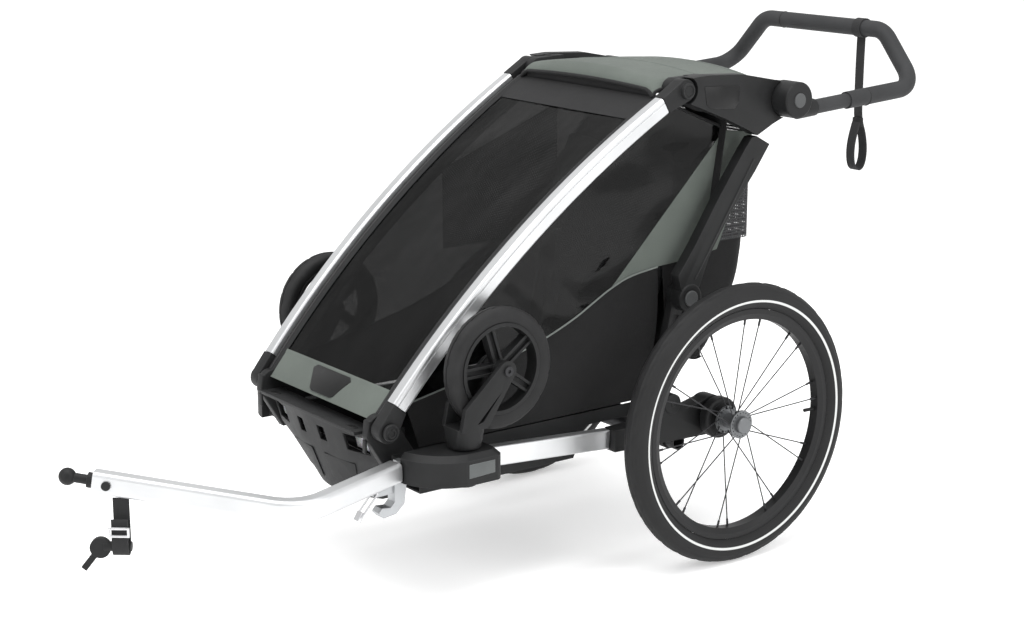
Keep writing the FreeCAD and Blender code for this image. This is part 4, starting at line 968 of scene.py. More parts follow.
class TRAILER_OT_sides(bpy.types.Operator):
    """Makes the side windows with their inner net, the gussets, the skirts and the light seam tape"""
    bl_idname = "trailer.sides"
    bl_label = "Sides"

    def execute(self, context):
        sizes = context.scene.trailer_sizes
        seam = [Vector((0, y, z)) for y, z in SEAM]
        seam = eased(seam, 2)
        start = Vector((0, -0.612, 0.363))
        under = [Vector((0, *on_arc(LOW_ANGLE - math.radians(1.0) + (TOP_ANGLE - LOW_ANGLE) * i / 10,
                                    -0.024)))
                 for i in range(11)]
        upper = [start] + under + [Vector((0, -0.060, 0.800)), Vector((0, -0.020, 0.782)),
                                   Vector((0, 0.064, 0.748))]
        gusset_front = [Vector((0, -0.188, 0.4965)), Vector((0, 0.062, 0.745))]
        lower = [p for p in seam if p.y < -0.190] + gusset_front

        def film(u, v):
            a, b = along(lower, u), along(upper, u)
            p = a.lerp(b, v)
            edge = min(1.0, 7 * v * (1 - v)) * min(1.0, 8 * u) * min(1.0, 5 * (1 - u))
            slant = p.y * 0.55 + p.z
            folds = math.sin(slant * 46 + 3.1 * noise.noise(Vector((p.y * 6, p.z * 6, 0.4)))) * 0.5 + 0.5
            lumps = noise.noise(Vector((p.y * 9, p.z * 16, 2.2))) * 0.5 + 0.5
            low = max(0.0, 1.0 - abs(p.z - 0.50) / 0.16)
            high = max(0.0, 1.0 - abs(p.z - 0.735) / 0.07)
            depth = (0.25 + 0.75 * max(low, high)) * (0.55 * folds + 0.45 * lumps)
            return at(SIDE_FACE - sizes.wrinkle * edge * depth, p.y, p.z)

        under_seam = eased([Vector((0, -0.586, 0.287)), Vector((0, -0.400, 0.286)),
                            Vector((0, -0.118, 0.287))], 1)
        top_edge = [p + Vector((0, 0, 0.001)) for p in seam]

        def skirt(u, v):
            bottom = along(under_seam, u)
            top = along(top_edge, u)
            bend = 0.016 * max(0.0, u - 0.86) / 0.14 * math.sin(math.pi * v)
            p = bottom.lerp(top, v)
            ripple = noise.noise(Vector((p.y * 8, p.z * 5, 5.1))) * 0.0022 * math.sin(math.pi * v)
            return at(SIDE_FACE + 0.0004 - 0.001 * math.sin(math.pi * v) + min(0.0006, ripple),
                      p.y + bend, p.z)

        gusset_back = eased([Vector((0, 0.052, 0.5335)), Vector((0, 0.090, 0.616)), Vector((0, 0.122, 0.690)),
                             Vector((0, 0.130, 0.736))], 2)
        foot = [Vector((0, -0.190, 0.4955))] + [p for p in seam if p.y > -0.189]
        foot += [Vector((0, -0.020, 0.5225)), Vector((0, 0.052, 0.5335))]

        def gusset(u, v):
            a = gusset_front[0].lerp(gusset_front[1], v)
            b = along(gusset_back, v)
            p = a.lerp(b, u)
            dip = along(foot, u).z - foot[0].lerp(foot[-1], u).z
            return at(SIDE_FACE + 0.0006 - 0.0015 * math.sin(math.pi * u), p.y, p.z + dip * (1 - v) ** 3)

        film_size = (0.78, 0.165)
        makers = (("side_film", film, (90, 28), film_size, sizes.film, "side_film", "smoked_film"),
                  ("side_skirt", skirt, (60, 14), (0.52, 0.15), sizes.cloth, "body_cloth", "black_fabric"),
                  ("side_gusset", gusset, (30, 40), (0.19, 0.30), sizes.cloth, "canopy_cloth",
                   "green_fabric"))
        for stem, surface, cells, flat, thick, finish, slot in makers:
            for side, name in SIDES:
                piece = cloth_grid(surface, *cells, flat, thick)
                piece = on_side(piece, side)
                dress(piece, f"{stem}_{name}", finish, "chassis")
                folds(piece)
                if stem == "side_film":
                    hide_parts("side_windows")
                if stem == "side_skirt":
                    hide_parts("side_skirts")

        def zip_cover(u, v):
            angle = LOW_ANGLE + (TOP_ANGLE - LOW_ANGLE) * (0.01 + 0.98 * u)
            return at(SIDE_FACE - 0.0006, *on_arc(angle, -0.001 - ZIP_WIDE * v))

        for side, name in SIDES:
            piece = cloth_grid(zip_cover, 70, 6, (0.70, ZIP_WIDE), sizes.cloth)
            piece = on_side(piece, side)
            dress(piece, "zip_cover_" + name, "edge_cloth", "pillars")

        line = [at(SIDE_FACE + 0.0014, p.y, p.z) for p in seam]
        edges = ((line, 0.0016, "binding_tape", "seam_tape"),
                 ([at(SIDE_FACE + 0.0010, p.y, p.z) for p in upper[1:]], 0.0024, "edge_cloth", "film_edging"))
        for points, radius, finish, stem in edges:
            piece = tube(points, radius, 8)
            twin = mirrored(piece)
            for made, name in ((piece, "left"), (twin, "right")):
                dress(made, f"{stem}_{name}", finish, "chassis")
                folds(made)

        def inner_net(u, v):
            y = -0.30 + 0.26 * u
            z = 0.52 + (0.145 + 0.10 * u) * v
            return at(SIDE_FACE - 0.0155, y, z)

        for side, name in SIDES:
            piece = cloth_grid(inner_net, 20, 14, (0.26, 0.2), 0.0006)
            piece = on_side(piece, side)
            dress(piece, "inner_net_" + name, "inner_net", "chassis")
            folds(piece)
        return {"FINISHED"}


# ---- roof and back ----
class TRAILER_OT_roof(bpy.types.Operator):
    """Makes the crowned roof with its corded edges and the flap behind it"""
    bl_idname = "trailer.roof"
    bl_label = "Roof"

    def execute(self, context):
        sizes = context.scene.trailer_sizes
        half = 0.1845
        crown = 0.017
        profile = eased([Vector((0, -0.106, 0.8265)), Vector((0, -0.104, 0.8360)),
                         Vector((0, -0.080, 0.8415)),
                         Vector((0, 0.030, 0.8400)), Vector((0, 0.118, 0.8330)), Vector((0, 0.146, 0.8250)),
                         Vector((0, 0.150, 0.8060)), Vector((0, 0.1420, 0.7700))], 3)

        def roof(u, v):
            across = 2 * u - 1
            p = along(profile, v)
            rise = crown * (1 - across * across) * min(1.0, 9 * v + 0.35) * (1 if p.y < 0.14 else 0.35)
            side_drop = 0.010 * max(0.0, abs(across) - 0.93) / 0.07
            sag = 0.0035 * math.sin(math.pi * min(1.0, v * 1.35)) * (1 - across ** 2)
            if p.y > 0.147:
                rise = 0.0
            return at(half * across, p.y + 0.006 * (1 - across * across) * (p.y > 0.13),
                      p.z + rise - side_drop - sag)

        flat_long = sum((b - a).length for a, b in zip(profile, profile[1:]))
        piece = cloth_grid(roof, 48, 56, (2 * half, flat_long), sizes.cloth)
        dress(piece, "roof", "canopy_cloth", "upper")
        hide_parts("roof_fabric")

        valance_line = [Vector((0, -0.0985, 0.8270)), Vector((0, -0.0975, 0.8140)),
                        Vector((0, -0.0960, 0.8000))]

        def valance(u, v):
            across = 2 * u - 1
            p = along(valance_line, v)
            rise = crown * 0.5 * (1 - across * across)
            return at((half - 0.002) * across, p.y, p.z + rise - 0.010 * max(0.0, abs(across) - 0.93) / 0.07)

        piece = cloth_grid(valance, 40, 8, (2 * half, 0.028), sizes.cloth)
        dress(piece, "bow_valance", "edge_cloth", "pillars")

        def front_edge(i, count=40):
            return roof(i / count, 0.0)

        cord = tube([front_edge(i) + Vector((0, -0.001, 0.0005)) for i in range(41)], sizes.piping, 10)
        dress(cord, "roof_front_piping", "edge_cloth", "upper")
        for u, name in ((1.0, "left"), (0.0, "right")):
            edge = tube([roof(u, i / 60 * 0.86) + Vector((0, 0, -0.001)) for i in range(61)],
                        sizes.piping, 10)
            dress(edge, "roof_side_piping_" + name, "edge_cloth", "upper")
        for v, name in ((0.40, "front"), (0.74, "rear")):
            stitch = tube([roof(i / 40, v) + Vector((0, 0, 0.0004)) for i in range(41)], 0.0009, 6)
            dress(stitch, "roof_seam_" + name, "canopy_cloth", "upper")
        return {"FINISHED"}


BAG_HALF = 0.172
BAG_DEEP = 0.245
NET_TALL = 0.226
SIDE_TALL = 0.178
BAG_CORNER = 0.030
UPRIGHT_REAR = ((-0.008, 0.536), (0.040, 0.608), (0.096, 0.676), (0.128, 0.720), (0.1335, 0.7600))


def behind_upright(z):
    """y of the upright's rear edge at this height."""
    for (y0, z0), (y1, z1) in zip(UPRIGHT_REAR, UPRIGHT_REAR[1:]):
        if z <= z1:
            return y0 + (y1 - y0) * max(0.0, (z - z0) / (z1 - z0))
    return UPRIGHT_REAR[-1][0]


def round_the_back(u, y_front, y_rear, half, corner, bulge=0.0):
    """(x, y) along a U-shaped plan that starts and ends at y_front and turns at y_rear."""
    side = max(0.0005, y_rear - y_front - corner)
    turn = math.pi / 2 * corner
    back = 2 * (half - corner)
    total = 2 * side + 2 * turn + back
    s = u * total
    if s < side:
        return -half, y_front + s
    s -= side
    if s < turn:
        a = s / corner
        return -half + corner - corner * math.cos(a), y_rear - corner + corner * math.sin(a)
    s -= turn
    if s < back:
        x = -half + corner + s
        return x, y_rear + bulge * (1 - (x / (half - corner)) ** 2)
    s -= back
    if s < turn:
        a = s / corner
        return half - corner + corner * math.sin(a), y_rear - corner + corner * math.cos(a)
    return half, y_rear - corner - (s - turn)


class TRAILER_OT_back(bpy.types.Operator):
    """Makes the cargo bag, its net, the cloth beside it, and the strap and buckle"""
    bl_idname = "trailer.back"
    bl_label = "Back and bag"

    def execute(self, context):
        sizes = context.scene.trailer_sizes
        back_line = eased([Vector((0, 0.030, 0.3375)), Vector((0, 0.052, 0.352)), Vector((0, 0.084, 0.405)),
                           Vector((0, 0.119, 0.468)), Vector((0, 0.133, 0.520)),
                           Vector((0, 0.134, 0.547))], 2)

        def bag(u, v):
            p = along(back_line, v)
            sag = math.sin(math.pi * min(1.0, v * 1.15)) if v < 0.87 else 0.0
            fold = noise.noise(Vector((u * 9.0, v * 4.0, 3.3))) * 0.004 * math.sin(math.pi * v)
            x, y = round_the_back(u, 0.004, p.y, BAG_HALF, min(BAG_CORNER, max(0.004, p.y - 0.010)),
                                  0.007 * sag)
            droop = -0.006 * sag * (1 - (2 * u - 1) ** 2)
            return at(x + (0.002 * sag if x > 0 else -0.002 * sag), y + fold, p.z + droop)

        piece = cloth_grid(bag, 84, 26, (0.60, BAG_DEEP), sizes.cloth)
        outward(piece)
        dress(piece, "cargo_bag", "body_cloth", "upper")
        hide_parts("rear_bag")
        rim = tube([bag(i / 90, 1.0) + Vector((0, 0, 0.001)) for i in range(91)], 0.0018, 8)
        dress(rim, "bag_binding", "binding_tape", "upper")

        def floor_cloth(u, v):
            x = (2 * u - 1) * (BAG_HALF - 0.002)
            y = 0.004 + 0.028 * v
            return at(x, y, 0.3375 - 0.003 * math.sin(math.pi * v))

        piece = cloth_grid(floor_cloth, 30, 4, (0.34, 0.028), sizes.cloth)
        dress(piece, "bag_floor", "body_cloth", "upper")

        gusset_wide = 0.034

        def net_front(z):
            return behind_upright(z) + gusset_wide * max(0.0, min(1.0, (0.700 - z) / 0.165))

        def net_sheet(u, v):
            z = 0.546 + (0.772 - 0.546) * v
            front = min(0.1335, net_front(z))
            corner = min(0.018, max(0.0008, 0.138 - front))
            x, y = round_the_back(u, front, 0.1380, 0.1755, corner, 0.003 * math.sin(math.pi * v))
            return at(x, y, z)

        piece = cloth_grid(net_sheet, 90, 30, (0.55, NET_TALL), 0.0008)
        outward(piece)
        dress(piece, "bag_net", "bag_net", "upper")

        def side_cloth(u, v):
            z = 0.342 + (0.520 - 0.342) * v
            return at(0.1763, -0.072 + 0.078 * u + 0.016 * (1 - v), z)

        for side, name in SIDES:
            piece = cloth_grid(side_cloth, 8, 24, (0.078, SIDE_TALL), sizes.cloth)
            piece = on_side(piece, side)
            dress(piece, "rear_side_cloth_" + name, "body_cloth", "upper")

        strap_line = [at(0, 0.1425, 0.775), at(0, 0.1448, 0.66), at(0, 0.1450, 0.56), at(0, 0.1448, 0.520),
                      at(0, 0.1400, 0.490)]
        strap = flat_band(nurbs_line(strap_line, 10), Vector((1, 0, 0)), 0.025, 0.0016)
        dress(strap, "bag_strap", "safety_webbing", "upper")
        buckle = block(at(-0.019, 0.1455, 0.585), at(0.019, 0.1535, 0.627), 0.0035)
        ears = block(at(-0.0145, 0.1450, 0.628), at(0.0145, 0.1520, 0.650), 0.003)
        buckle = joined([buckle, ears])
        dress(buckle, "bag_buckle", "black_plastic", "upper")
        return {"FINISHED"}


def flat_band(line, across, wide, thick, edged=True):
    """A flat webbing strap along a line, its width lying along one direction. Its UV map is in metres."""
    run = [0.0]
    for a, b in zip(line, line[1:]):
        run.append(run[-1] + (b - a).length)
    count = len(line) - 1

    deselect()
    bpy.ops.mesh.primitive_grid_add(x_subdivisions=6, y_subdivisions=count, size=1, location=(0, 0, 0))
    piece = bpy.context.object
    uv = piece.data.uv_layers.active
    for corner in uv.data:
        corner.uv = (corner.uv[0] * wide, run[min(count, round(corner.uv[1] * count))])
    for vertex in piece.data.vertices:
        step = min(count, round((vertex.co.y + 0.5) * count))
        vertex.co = line[step] + across * (wide * vertex.co.x)
    modify(piece, "SOLIDIFY", thickness=thick, offset=0.0, use_even_offset=edged)
    if edged:
        modify(piece, "BEVEL", width=thick * 0.3, segments=2, limit_method="ANGLE",
               angle_limit=math.radians(60))
    return smooth(piece, 60)


# ---- seat ----
SIM_STEPS = 20


def puffed(piece, voxel, pressure, cap):
    """Lets a pad's cover puff out under a light inner pressure, then caps how far each point has moved."""
    modify(piece, "REMESH", mode="VOXEL", voxel_size=voxel)
    before = [v.co.copy() for v in piece.data.vertices]
    focus(piece)
    cloth = piece.modifiers.new("cover", "CLOTH")
    cloth.settings.use_pressure = True
    cloth.settings.uniform_pressure_force = pressure
    cloth.settings.effector_weights.gravity = 0.0
    cloth.settings.tension_stiffness = 25
    cloth.settings.compression_stiffness = 25
    cloth.settings.bending_stiffness = 4
    scene = bpy.context.scene
    cloth.point_cache.frame_start = 1
    cloth.point_cache.frame_end = SIM_STEPS
    for step in range(1, SIM_STEPS + 1):
        scene.frame_set(step)
    bpy.ops.object.modifier_apply(modifier=cloth.name)
    scene.frame_set(1)
    for vertex, rest in zip(piece.data.vertices, before):
        move = vertex.co - rest
        if move.length > cap:
            vertex.co = rest + move * (cap / move.length)
    modify(piece, "SMOOTH", iterations=3, factor=0.5)
    modify(piece, "SUBSURF", levels=1, render_levels=1)
    return smooth(piece, 60)


def press(piece, depth_at):
    """Moves each point against its normal by depth_at(point), for seams and sewn channels."""
    normals = [v.normal.copy() for v in piece.data.vertices]
    for vertex, normal in zip(piece.data.vertices, normals):
        vertex.co = vertex.co - normal * depth_at(vertex.co)


def groove(distance, width, depth):
    return depth * math.exp(-(distance / width) ** 2)


WALL_WIDE = 0.392
BACK_LOW = (-0.106, 0.3045)
BACK_TOP = (0.025, 0.695)
BACK_LEAN = math.atan2(BACK_TOP[0] - BACK_LOW[0], BACK_TOP[1] - BACK_LOW[1])


def on_back(across, up, out):
    """A point of the back rest: metres across, metres up its slope, and metres out of its front face."""
    run = Vector((0, BACK_TOP[0] - BACK_LOW[0], BACK_TOP[1] - BACK_LOW[1])).normalized()
    front = Vector((0, -run.z, run.y))
    return at(0, *BACK_LOW) + Vector((across, 0, 0)) + run * up + front * (0.012 + out)


class TRAILER_OT_seat(bpy.types.Operator):
    """Makes the padded seat and back rest with their sewn channels"""
    bl_idname = "trailer.seat"
    bl_label = "Seat"

    def execute(self, context):
        swell = context.scene.trailer_sizes.swell
        piece = block(at(-0.157, -0.356, 0.2685), at(0.157, -0.126, 0.2965), 0.010)
        puffed(piece, voxel=0.0055, pressure=4.0, cap=swell * 0.45)

        def seat_seams(p):
            y = p.y - AXLE_Y
            line = groove(abs(p.x) - 0.098, 0.004, 0.004)
            cross = sum(groove(y - c, 0.0035, 0.0032) for c in (-0.295, -0.235, -0.175)) * (abs(p.x) < 0.098)
            hollow = 0.005 * math.exp(-(p.x / 0.085) ** 2) * (p.z > 0.285)
            return line + cross + hollow

        press(piece, seat_seams)
        dress(piece, "seat_pad", "seat_cloth", "chassis")
        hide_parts("seat_cushion")

        tall = math.hypot(BACK_TOP[0] - BACK_LOW[0], BACK_TOP[1] - BACK_LOW[1])
        deselect()
        bpy.ops.mesh.primitive_cube_add(size=1, location=(0, 0, tall / 2), scale=(0.306, 0.017, tall * 0.975))
        back = settle(bpy.context.object)
        modify(back, "BEVEL", width=0.007, segments=3)
        focus(back)
        bpy.ops.transform.rotate(value=BACK_LEAN, orient_axis="X", center_override=(0, 0, 0))
        back.location = at(0, BACK_LOW[0], BACK_LOW[1] + 0.004)
        settle(back)
        top_y = max(v.co.y for v in back.data.vertices)
        if top_y < at(0, BACK_TOP[0], 0).y - 0.02:
            raise RuntimeError("the back rest leans the wrong way")
        puffed(back, voxel=0.0055, pressure=4.0, cap=swell * 0.5)
        run = Vector((0, math.sin(BACK_LEAN), math.cos(BACK_LEAN)))
        foot = at(0, *BACK_LOW)

        def back_seams(p):
            up = (p - foot).dot(run)
            side = groove(abs(p.x) - 0.100, 0.004, 0.0042)
            rows = sum(groove(up - c, 0.0036, 0.0034) for c in (0.07, 0.14, 0.21, 0.28)) * (abs(p.x) < 0.100)
            head = groove(up - 0.315, 0.0042, 0.0042)
            return side * (up < 0.315) + rows + head

        press(back, back_seams)
        dress(back, "back_pad", "seat_cloth", "chassis")
        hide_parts("seat_back")
        folds(back, SEAT_Z)

        cabin_line = [Vector((0, -0.098, 0.289)), Vector((0, -0.084, 0.300)), Vector((0, 0.030, 0.600)),
                      Vector((0, 0.056, 0.772))]
        cabin_long = sum((b - a).length for a, b in zip(cabin_line, cabin_line[1:]))

        def cabin(u, v):
            p = along(cabin_line, v)
            sag = 0.004 * math.sin(math.pi * u) * math.sin(math.pi * v)
            return at(WALL_WIDE / 2 * (2 * u - 1), p.y + sag, p.z)

        wall = cloth_grid(cabin, 30, 30, (WALL_WIDE, cabin_long), 0.0012)
        dress(wall, "cabin_back", "edge_cloth", "chassis")
        folds(wall)

        wings = []
        for side in (1, -1):
            wing = block((-0.011, -0.030, -0.055), (0.011, 0.030, 0.055), 0.008)
            focus(wing)
            bpy.ops.transform.rotate(value=BACK_LEAN, orient_axis="X", center_override=(0, 0, 0))
            bpy.ops.transform.rotate(value=-side * 0.45, orient_axis="Z", center_override=(0, 0, 0))
            wing.location = on_back(side * 0.118, 0.355, 0.028)
            wings.append(settle(wing))
        rest = joined(wings)
        puffed(rest, voxel=0.004, pressure=3.5, cap=0.005)
        dress(rest, "head_wings", "seat_panel", "chassis")
        folds(rest, SEAT_Z)
        return {"FINISHED"}


HARNESS_WIDE = 0.024
HARNESS_THICK = 0.0018


class TRAILER_OT_harness(bpy.types.Operator):
    """Makes the five-point harness: webbing, shoulder pads and the buckle"""
    bl_idname = "trailer.harness"
    bl_label = "Harness"

    def execute(self, context):
        straps, pads = [], []
        for side in (1, -1):
            line = nurbs_line([on_back(side * 0.046, 0.335, 0.008), on_back(side * 0.045, 0.30, 0.014),
                               on_back(side * 0.042, 0.20, 0.016), on_back(side * 0.036, 0.11, 0.018),
                               on_back(side * 0.022, 0.045, 0.024)], 10)
            straps.append(flat_band(line, Vector((1, 0, 0)), HARNESS_WIDE, HARNESS_THICK))
            lap = nurbs_line([on_back(side * 0.132, 0.012, 0.012), on_back(side * 0.092, 0.026, 0.022),
                              on_back(side * 0.050, 0.038, 0.030), on_back(side * 0.020, 0.042, 0.032)], 10)
            straps.append(flat_band(lap, Vector((0, 0.3, 1)).normalized(), HARNESS_WIDE, HARNESS_THICK))
            pad = block((-0.022, -0.004, -0.066), (0.022, 0.004, 0.066), 0.0035)
            focus(pad)
            bpy.ops.transform.rotate(value=BACK_LEAN, orient_axis="X", center_override=(0, 0, 0))
            pad.location = on_back(side * 0.0425, 0.215, 0.023)
            pads.append(settle(pad))
        crotch = nurbs_line([at(0, -0.205, 0.3035), at(0, -0.188, 0.3125), at(0, -0.172, 0.325)], 8)
        straps.append(flat_band(crotch, Vector((1, 0, 0)), HARNESS_WIDE, HARNESS_THICK))
        straps = joined(straps)
        dress(straps, "harness_straps", "harness_webbing", "chassis")
        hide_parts("harness")
        pads = joined(pads)
        puffed(pads, voxel=0.0035, pressure=3.0, cap=0.004)
        press(pads, lambda p: groove(abs(abs(p.x) - 0.0425) - 0.017, 0.0018, 0.0014))
        dress(pads, "harness_pads", "seat_panel", "chassis")
        buckle = block(on_back(-0.021, 0.022, 0.026), on_back(0.021, 0.060, 0.042), 0.006)
        button = block(on_back(-0.009, 0.030, 0.040), on_back(0.009, 0.050, 0.046), 0.003)
        buckle = joined([buckle, button])
        dress(buckle, "harness_buckle", "black_plastic", "chassis")
        for made in (straps, pads, buckle):
            folds(made, SEAT_Z)
        return {"FINISHED"}


# ---- straps ----
WRIST_X = 0.103
BAR_Y = 0.479
BAR_Z = 0.893
FOAM_R = 0.0155


STRAP_THICK = 0.0022


class TRAILER_OT_straps(bpy.types.Operator):
    """Makes the wrist strap on the handle and the safety strap under the hitch arm"""
    bl_idname = "trailer.straps"
    bl_label = "Straps"

    def execute(self, context):
        sizes = context.scene.trailer_sizes
        y, z = BAR_Y, BAR_Z
        top = FOAM_R + STRAP_THICK
        hang = ((0, top), (-0.001, 0.060), (-0.001, 0.120), (-0.0005, 0.160), (0.0025, 0.178),
                (0.012, 0.200), (0.018, 0.232), (0.014, 0.262), (0, 0.2725), (-0.014, 0.262),
                (-0.018, 0.232), (-0.012, 0.200), (-0.0035, 0.178))
        route = [at(WRIST_X, y + back, z - down) for back, down in hang]
        line = nurbs_line(route, 8)
        wide = sizes.strap
        strap = flat_band(line, Vector((1, 0, 0)), wide, STRAP_THICK, edged=False)
        wrap_line = [at(WRIST_X, y + (FOAM_R + 0.0016) * math.sin(a), z - (FOAM_R + 0.0016) * math.cos(a))
                     for a in [2 * math.pi * i / 48 for i in range(49)]]
        wrap = flat_band(wrap_line, Vector((1, 0, 0)), wide, STRAP_THICK, edged=False)
        outward(wrap)
        box = block(at(WRIST_X - wide / 2 - 0.0006, y - 0.0042, z - 0.188),
                    at(WRIST_X + wide / 2 + 0.0006, y + 0.0042, z - 0.170), 0.0012)
        dress(strap, "wrist_strap_webbing", "wrist_webbing", "handle")
        dress(wrap, "wrist_strap_wrap", "wrist_webbing", "handle")
        dress(box, "wrist_strap_stitch", "edge_cloth", "handle")
        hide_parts("wrist_strap")

        ball = Vector((0.050, -1.135 + AXLE_Y, 0.312))
        bend = Vector((0.268, -0.861 + AXLE_Y, 0.257))
        flat_way = (bend - ball).normalized()
        way = Vector((flat_way.x, flat_way.y, 0)).normalized()
        side = Vector((-way.y, way.x, 0))
        foot = ball + flat_way * 0.080
        foot = Vector((foot.x, foot.y, 0))
        wide = sizes.safety_strap

        def under_arm(forward, height):
            """A point of the strap's own plane, metres along the arm and above the ground."""
            return foot + side * forward + Vector((0, 0, height))

        loop = ((0.0, 0.279), (0.0, 0.262), (0.0004, 0.232), (0.0, 0.204), (-0.003, 0.1945),
                (-0.009, 0.1915), (-0.0155, 0.1945), (-0.0185, 0.205), (-0.0175, 0.228), (-0.0165, 0.250))
        route = [under_arm(forward, height) for forward, height in loop]
        line = nurbs_line(route, 8)
        strap = flat_band(line, way, wide, STRAP_THICK, edged=False)
        dress(strap, "safety_strap_webbing", "safety_webbing", "chassis")
        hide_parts("safety_strap")
        bars = []
        for height in (0.226, 0.238):
            a = under_arm(-0.0235, height) - way * (wide / 2 + 0.002)
            b = under_arm(-0.0235, height) + way * (wide / 2 + 0.002)
            bars.append(tube([a.lerp(b, i / 8) for i in range(9)], 0.0022, 10))
        for end in (-1, 1):
            a = under_arm(-0.0235, 0.2245) + way * end * (wide / 2 + 0.002)
            b = under_arm(-0.0235, 0.2395) + way * end * (wide / 2 + 0.002)
            bars.append(tube([a.lerp(b, i / 6) for i in range(7)], 0.0022, 10))
        ladder = joined(bars)
        dress(ladder, "safety_strap_slider", "bright_steel", "chassis")
        return {"FINISHED"}


# ---- moulded parts and trim ----
class TRAILER_OT_mouldings(bpy.types.Operator):
    """Rounds the edges of the moulded parts"""
    bl_idname = "trailer.mouldings"
    bl_label = "Moulded parts"

    def execute(self, context):
        width = context.scene.trailer_sizes.soften
        for node, share in MOULDED.items():
            body = NODES[node]["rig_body"]
            stem = node.rsplit("_", 1)[0] if node.endswith(("_left", "_right")) else node
            piece = softened(node, width * share)
            dress(piece, node + "_moulded", NODE_FINISH[stem], body)
        return {"FINISHED"}


MOULDED = {"top_plates": 1.6, "rear_uprights": 1.8, "bumper": 1.2, "hip_brackets": 1.4, "front_lugs": 1.2,
           "knee_links": 1.4, "caster_fork_left": 1.2, "caster_fork_right": 1.2, "brake_pedal": 1.0,
           "pillar_ends": 1.0, "receiver": 1.0, "front_reflectors": 0.4}


FOAM_SEAM = [(-0.0012, FOAM_R - 0.001), (-0.0012, FOAM_R + 0.0004), (0.0, FOAM_R + 0.0008),
             (0.0012, FOAM_R + 0.0004), (0.0012, FOAM_R - 0.001)]


class TRAILER_OT_trim(bpy.types.Operator):
    """Makes the pivot caps, blank badges, wing reflectors, upright ribs, bumper panels and slots, and handle
    seams
    """
    bl_idname = "trailer.trim"
    bl_label = "Trim"

    def execute(self, context):
        cap = [(0.0, 0.0), (0.0016, 0.0), (0.0018, 0.0075), (0.0010, 0.0085), (0.0010, 0.0102),
               (0.0030, 0.0112),
               (0.0034, 0.0126), (0.0026, 0.0140), (0.0, 0.0144)]
        spots = (("foot", (-0.660, 0.332), 0.2108, "chassis", 1.00),
                 ("head", (-0.068, 0.828), 0.2308, "pillars", 0.95))
        for stem, (y, z), x, body, scale in spots:
            for side, name in SIDES:
                profile = [(side * a, r * scale) for a, r in cap]
                piece = smooth(ring_piece(profile, 48, at(side * x, y, z)), 40)
                dress(piece, f"{stem}_cap_{name}", "black_plastic", body)
        for side, name in SIDES:
            relief = []
            for i in range(20):
                a = math.radians(200 + 250 * i / 19)
                r = 0.0078 - 0.0045 * abs(i / 19 - 0.35)
                relief.append(at(side * 0.2140, -0.660 + r * math.cos(a), 0.332 + r * math.sin(a)))
            mark = tube(relief, 0.0011, 8)
            dress(mark, "foot_cap_mark_" + name, "black_plastic", "chassis")

            badge = [(-0.030, 0.832), (0.052, 0.829), (0.049, 0.800), (0.040, 0.790), (-0.012, 0.793),
                     (-0.024, 0.800)]
            points = [at(side * (PLATE_FACE + 0.0001), y, z) for y, z in badge]
            piece = plate(points, Vector((side * 0.0009, 0, 0)), 0.0005)
            dress(piece, "plate_badge_" + name, "blank_badge", "upper")

            patch = [(-0.572, 0.285), (-0.522, 0.285), (-0.522, 0.264), (-0.572, 0.262)]
            points = [at(side * 0.2992, y, z) for y, z in patch]
            piece = plate(points, Vector((side * 0.0014, 0, 0)), 0.0006)
            dress(piece, "wing_reflector_" + name, "wing_reflector", "chassis")

            rib = [at(side * (PLATE_FACE - 0.0018), -0.040 + 0.132 * i / 20, 0.500 + 0.198 * i / 20 - 0.0006)
                   for i in range(21)]
            piece = tube(rib, 0.0016, 8)
            dress(piece, "upright_rib_" + name, "black_plastic", "upper")

            piece = ring_piece(FOAM_SEAM, 40, (0, 0, 0))
            focus(piece)
            bpy.ops.transform.rotate(value=math.pi / 2, orient_axis="Z", center_override=(0, 0, 0))
            piece.location = at(side * 0.245, 0.345, 0.7880)
            settle(piece)
            dress(piece, "foam_seam_" + name, "black_plastic", "handle")

        piece = ring_piece(FOAM_SEAM, 40, at(-0.103, BAR_Y, BAR_Z))
        dress(piece, "foam_seam_bar", "black_plastic", "handle")

        for side, name in SIDES:
            corners = []
            for x, z in ((0.018, 0.252), (0.098, 0.250), (0.076, 0.205), (0.018, 0.196)):
                share = (0.262 - z) / 0.082
                half = 0.160 - 0.060 * share
                y_side, y_front = -0.646 + 0.040 * share, -0.672 + 0.032 * share
                corners.append(at(side * x, y_front + (y_side - y_front) * (x / half) ** 2 - 0.0010, z))
            piece = plate(corners, Vector((0, -0.0012, -0.0004)), 0.0007)
            dress(piece, "bumper_panel_" + name, "bumper_plastic", "chassis")
            slot_low, slot_high = sorted((side * 0.112, side * 0.134))
            piece = block(at(slot_low, -0.684, 0.3222), at(slot_high, -0.672, 0.3246), 0.0011)
            dress(piece, "bumper_slot_" + name, "blank_badge", "chassis")
        return {"FINISHED"}


# ---- stage ----
CAMERA_AT = (2.6897, -1.9346, 1.2514)
CAMERA_AZIMUTH = math.radians(53.43)
CAMERA_ELEVATION = math.radians(14.07)
CAMERA_LENS = 68.70


def area_light(name, at, aim, size, power, size_y=None):
    data = bpy.data.lights.new(name, "AREA")
    data.energy = power
    data.size = size
    if size_y:
        data.shape = "RECTANGLE"
        data.size_y = size_y
    lamp = bpy.data.objects.new(name, data)
    bpy.context.scene.collection.objects.link(lamp)
    lamp.location = at
    lamp.rotation_mode = "QUATERNION"
    lamp.rotation_quaternion = (Vector(aim) - Vector(at)).to_track_quat("-Z", "Y")
    return lamp


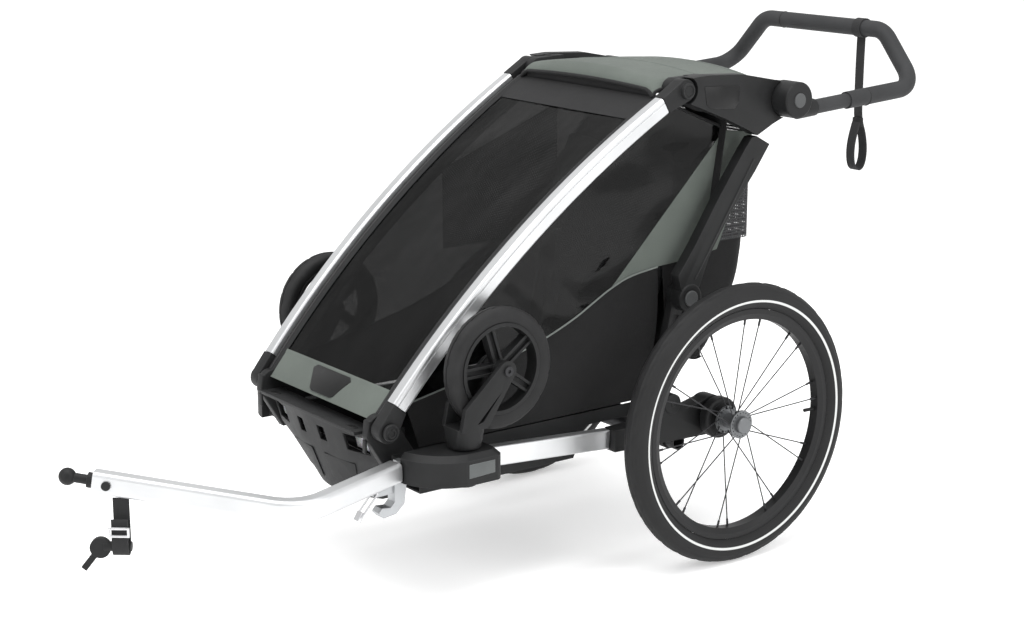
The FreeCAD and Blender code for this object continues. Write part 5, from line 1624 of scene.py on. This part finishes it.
class TRAILER_OT_stage(bpy.types.Operator):
    """Sets the floor, the lights, the backdrop colour and the camera"""
    bl_idname = "trailer.stage"
    bl_label = "Stage"

    def execute(self, context):
        scene = context.scene
        bpy.ops.mesh.primitive_plane_add(size=40, location=(0, 0, 0))
        floor = context.object
        floor.name = "floor"
        floor.data.materials.append(FINISHES["studio_floor"])
        world = bpy.data.worlds.new("studio")
        world.use_nodes = True
        world.node_tree.nodes["Background"].inputs["Color"].default_value = (1, 1, 1, 1)
        world.node_tree.nodes["Background"].inputs["Strength"].default_value = 0.95
        scene.world = world
        area_light("overhead_box", (0.4, -0.6, 3.4), (0, -0.1, 0.4), 3.2, 95, 2.4)
        area_light("side_box", (3.6, 1.4, 2.2), (0, 0.1, 0.5), 2.4, 60)
        area_light("front_box", (0.6, -4.0, 2.0), (0, -0.3, 0.5), 2.2, 45)
        scene.view_settings.view_transform = "Standard"
        camera_data = bpy.data.cameras.new("camera")
        camera = bpy.data.objects.new("camera", camera_data)
        scene.collection.objects.link(camera)
        back = Vector((math.sin(CAMERA_AZIMUTH) * math.cos(CAMERA_ELEVATION),
                       -math.cos(CAMERA_AZIMUTH) * math.cos(CAMERA_ELEVATION), math.sin(CAMERA_ELEVATION)))
        camera.location = CAMERA_AT
        camera.rotation_mode = "QUATERNION"
        camera.rotation_quaternion = (-back).to_track_quat("-Z", "Y")
        camera_data.lens = CAMERA_LENS
        camera_data.sensor_width = 36.0
        scene.camera = camera
        return {"FINISHED"}


class TRAILER_OT_hard_parts(bpy.types.Operator):
    """Gives every hard part of the frame its finish"""
    bl_idname = "trailer.hard_parts"
    bl_label = "Hard parts"

    def execute(self, context):
        for name, node in NODES.items():
            stem = name.rsplit("_", 1)[0] if name.endswith(("_left", "_right")) else name
            node.data.materials.clear()
            node.data.materials.append(FINISHES[NODE_FINISH[stem]])
        return {"FINISHED"}


class TRAILER_PT_panel(bpy.types.Panel):
    """Sidebar list of the trailer's pieces"""
    bl_label = "Trailer"
    bl_idname = "TRAILER_PT_panel"
    bl_space_type = "VIEW_3D"
    bl_region_type = "UI"
    bl_category = "Trailer"

    def draw(self, context):
        for settings in (context.scene.trailer_sizes, context.scene.trailer_colours):
            box = self.layout.box()
            for key in settings.bl_rna.properties.keys():
                if key not in ("rna_type", "name"):
                    box.prop(settings, key)
        for operator in PIECES:
            self.layout.operator(operator.bl_idname)


PIECES = (TRAILER_OT_hard_parts, TRAILER_OT_wheels, TRAILER_OT_windscreen, TRAILER_OT_sides, TRAILER_OT_roof,
          TRAILER_OT_back, TRAILER_OT_seat, TRAILER_OT_harness, TRAILER_OT_straps, TRAILER_OT_mouldings,
          TRAILER_OT_trim, TRAILER_OT_stage)
CLASSES = (TrailerColours, TrailerSizes, *PIECES, TRAILER_PT_panel)


def register():
    for cls in CLASSES:
        bpy.utils.register_class(cls)
    bpy.types.Scene.trailer_colours = bpy.props.PointerProperty(type=TrailerColours)
    bpy.types.Scene.trailer_sizes = bpy.props.PointerProperty(type=TrailerSizes)


def unregister():
    del bpy.types.Scene.trailer_colours
    del bpy.types.Scene.trailer_sizes
    for cls in reversed(CLASSES):
        bpy.utils.unregister_class(cls)


def main():
    register()
    FINISHES.update(make_finishes(bpy.context.scene.trailer_colours))
    for operator in PIECES:
        group, name = operator.bl_idname.split(".")
        getattr(getattr(bpy.ops, group), name)()


if __name__ == "__main__":
    main()
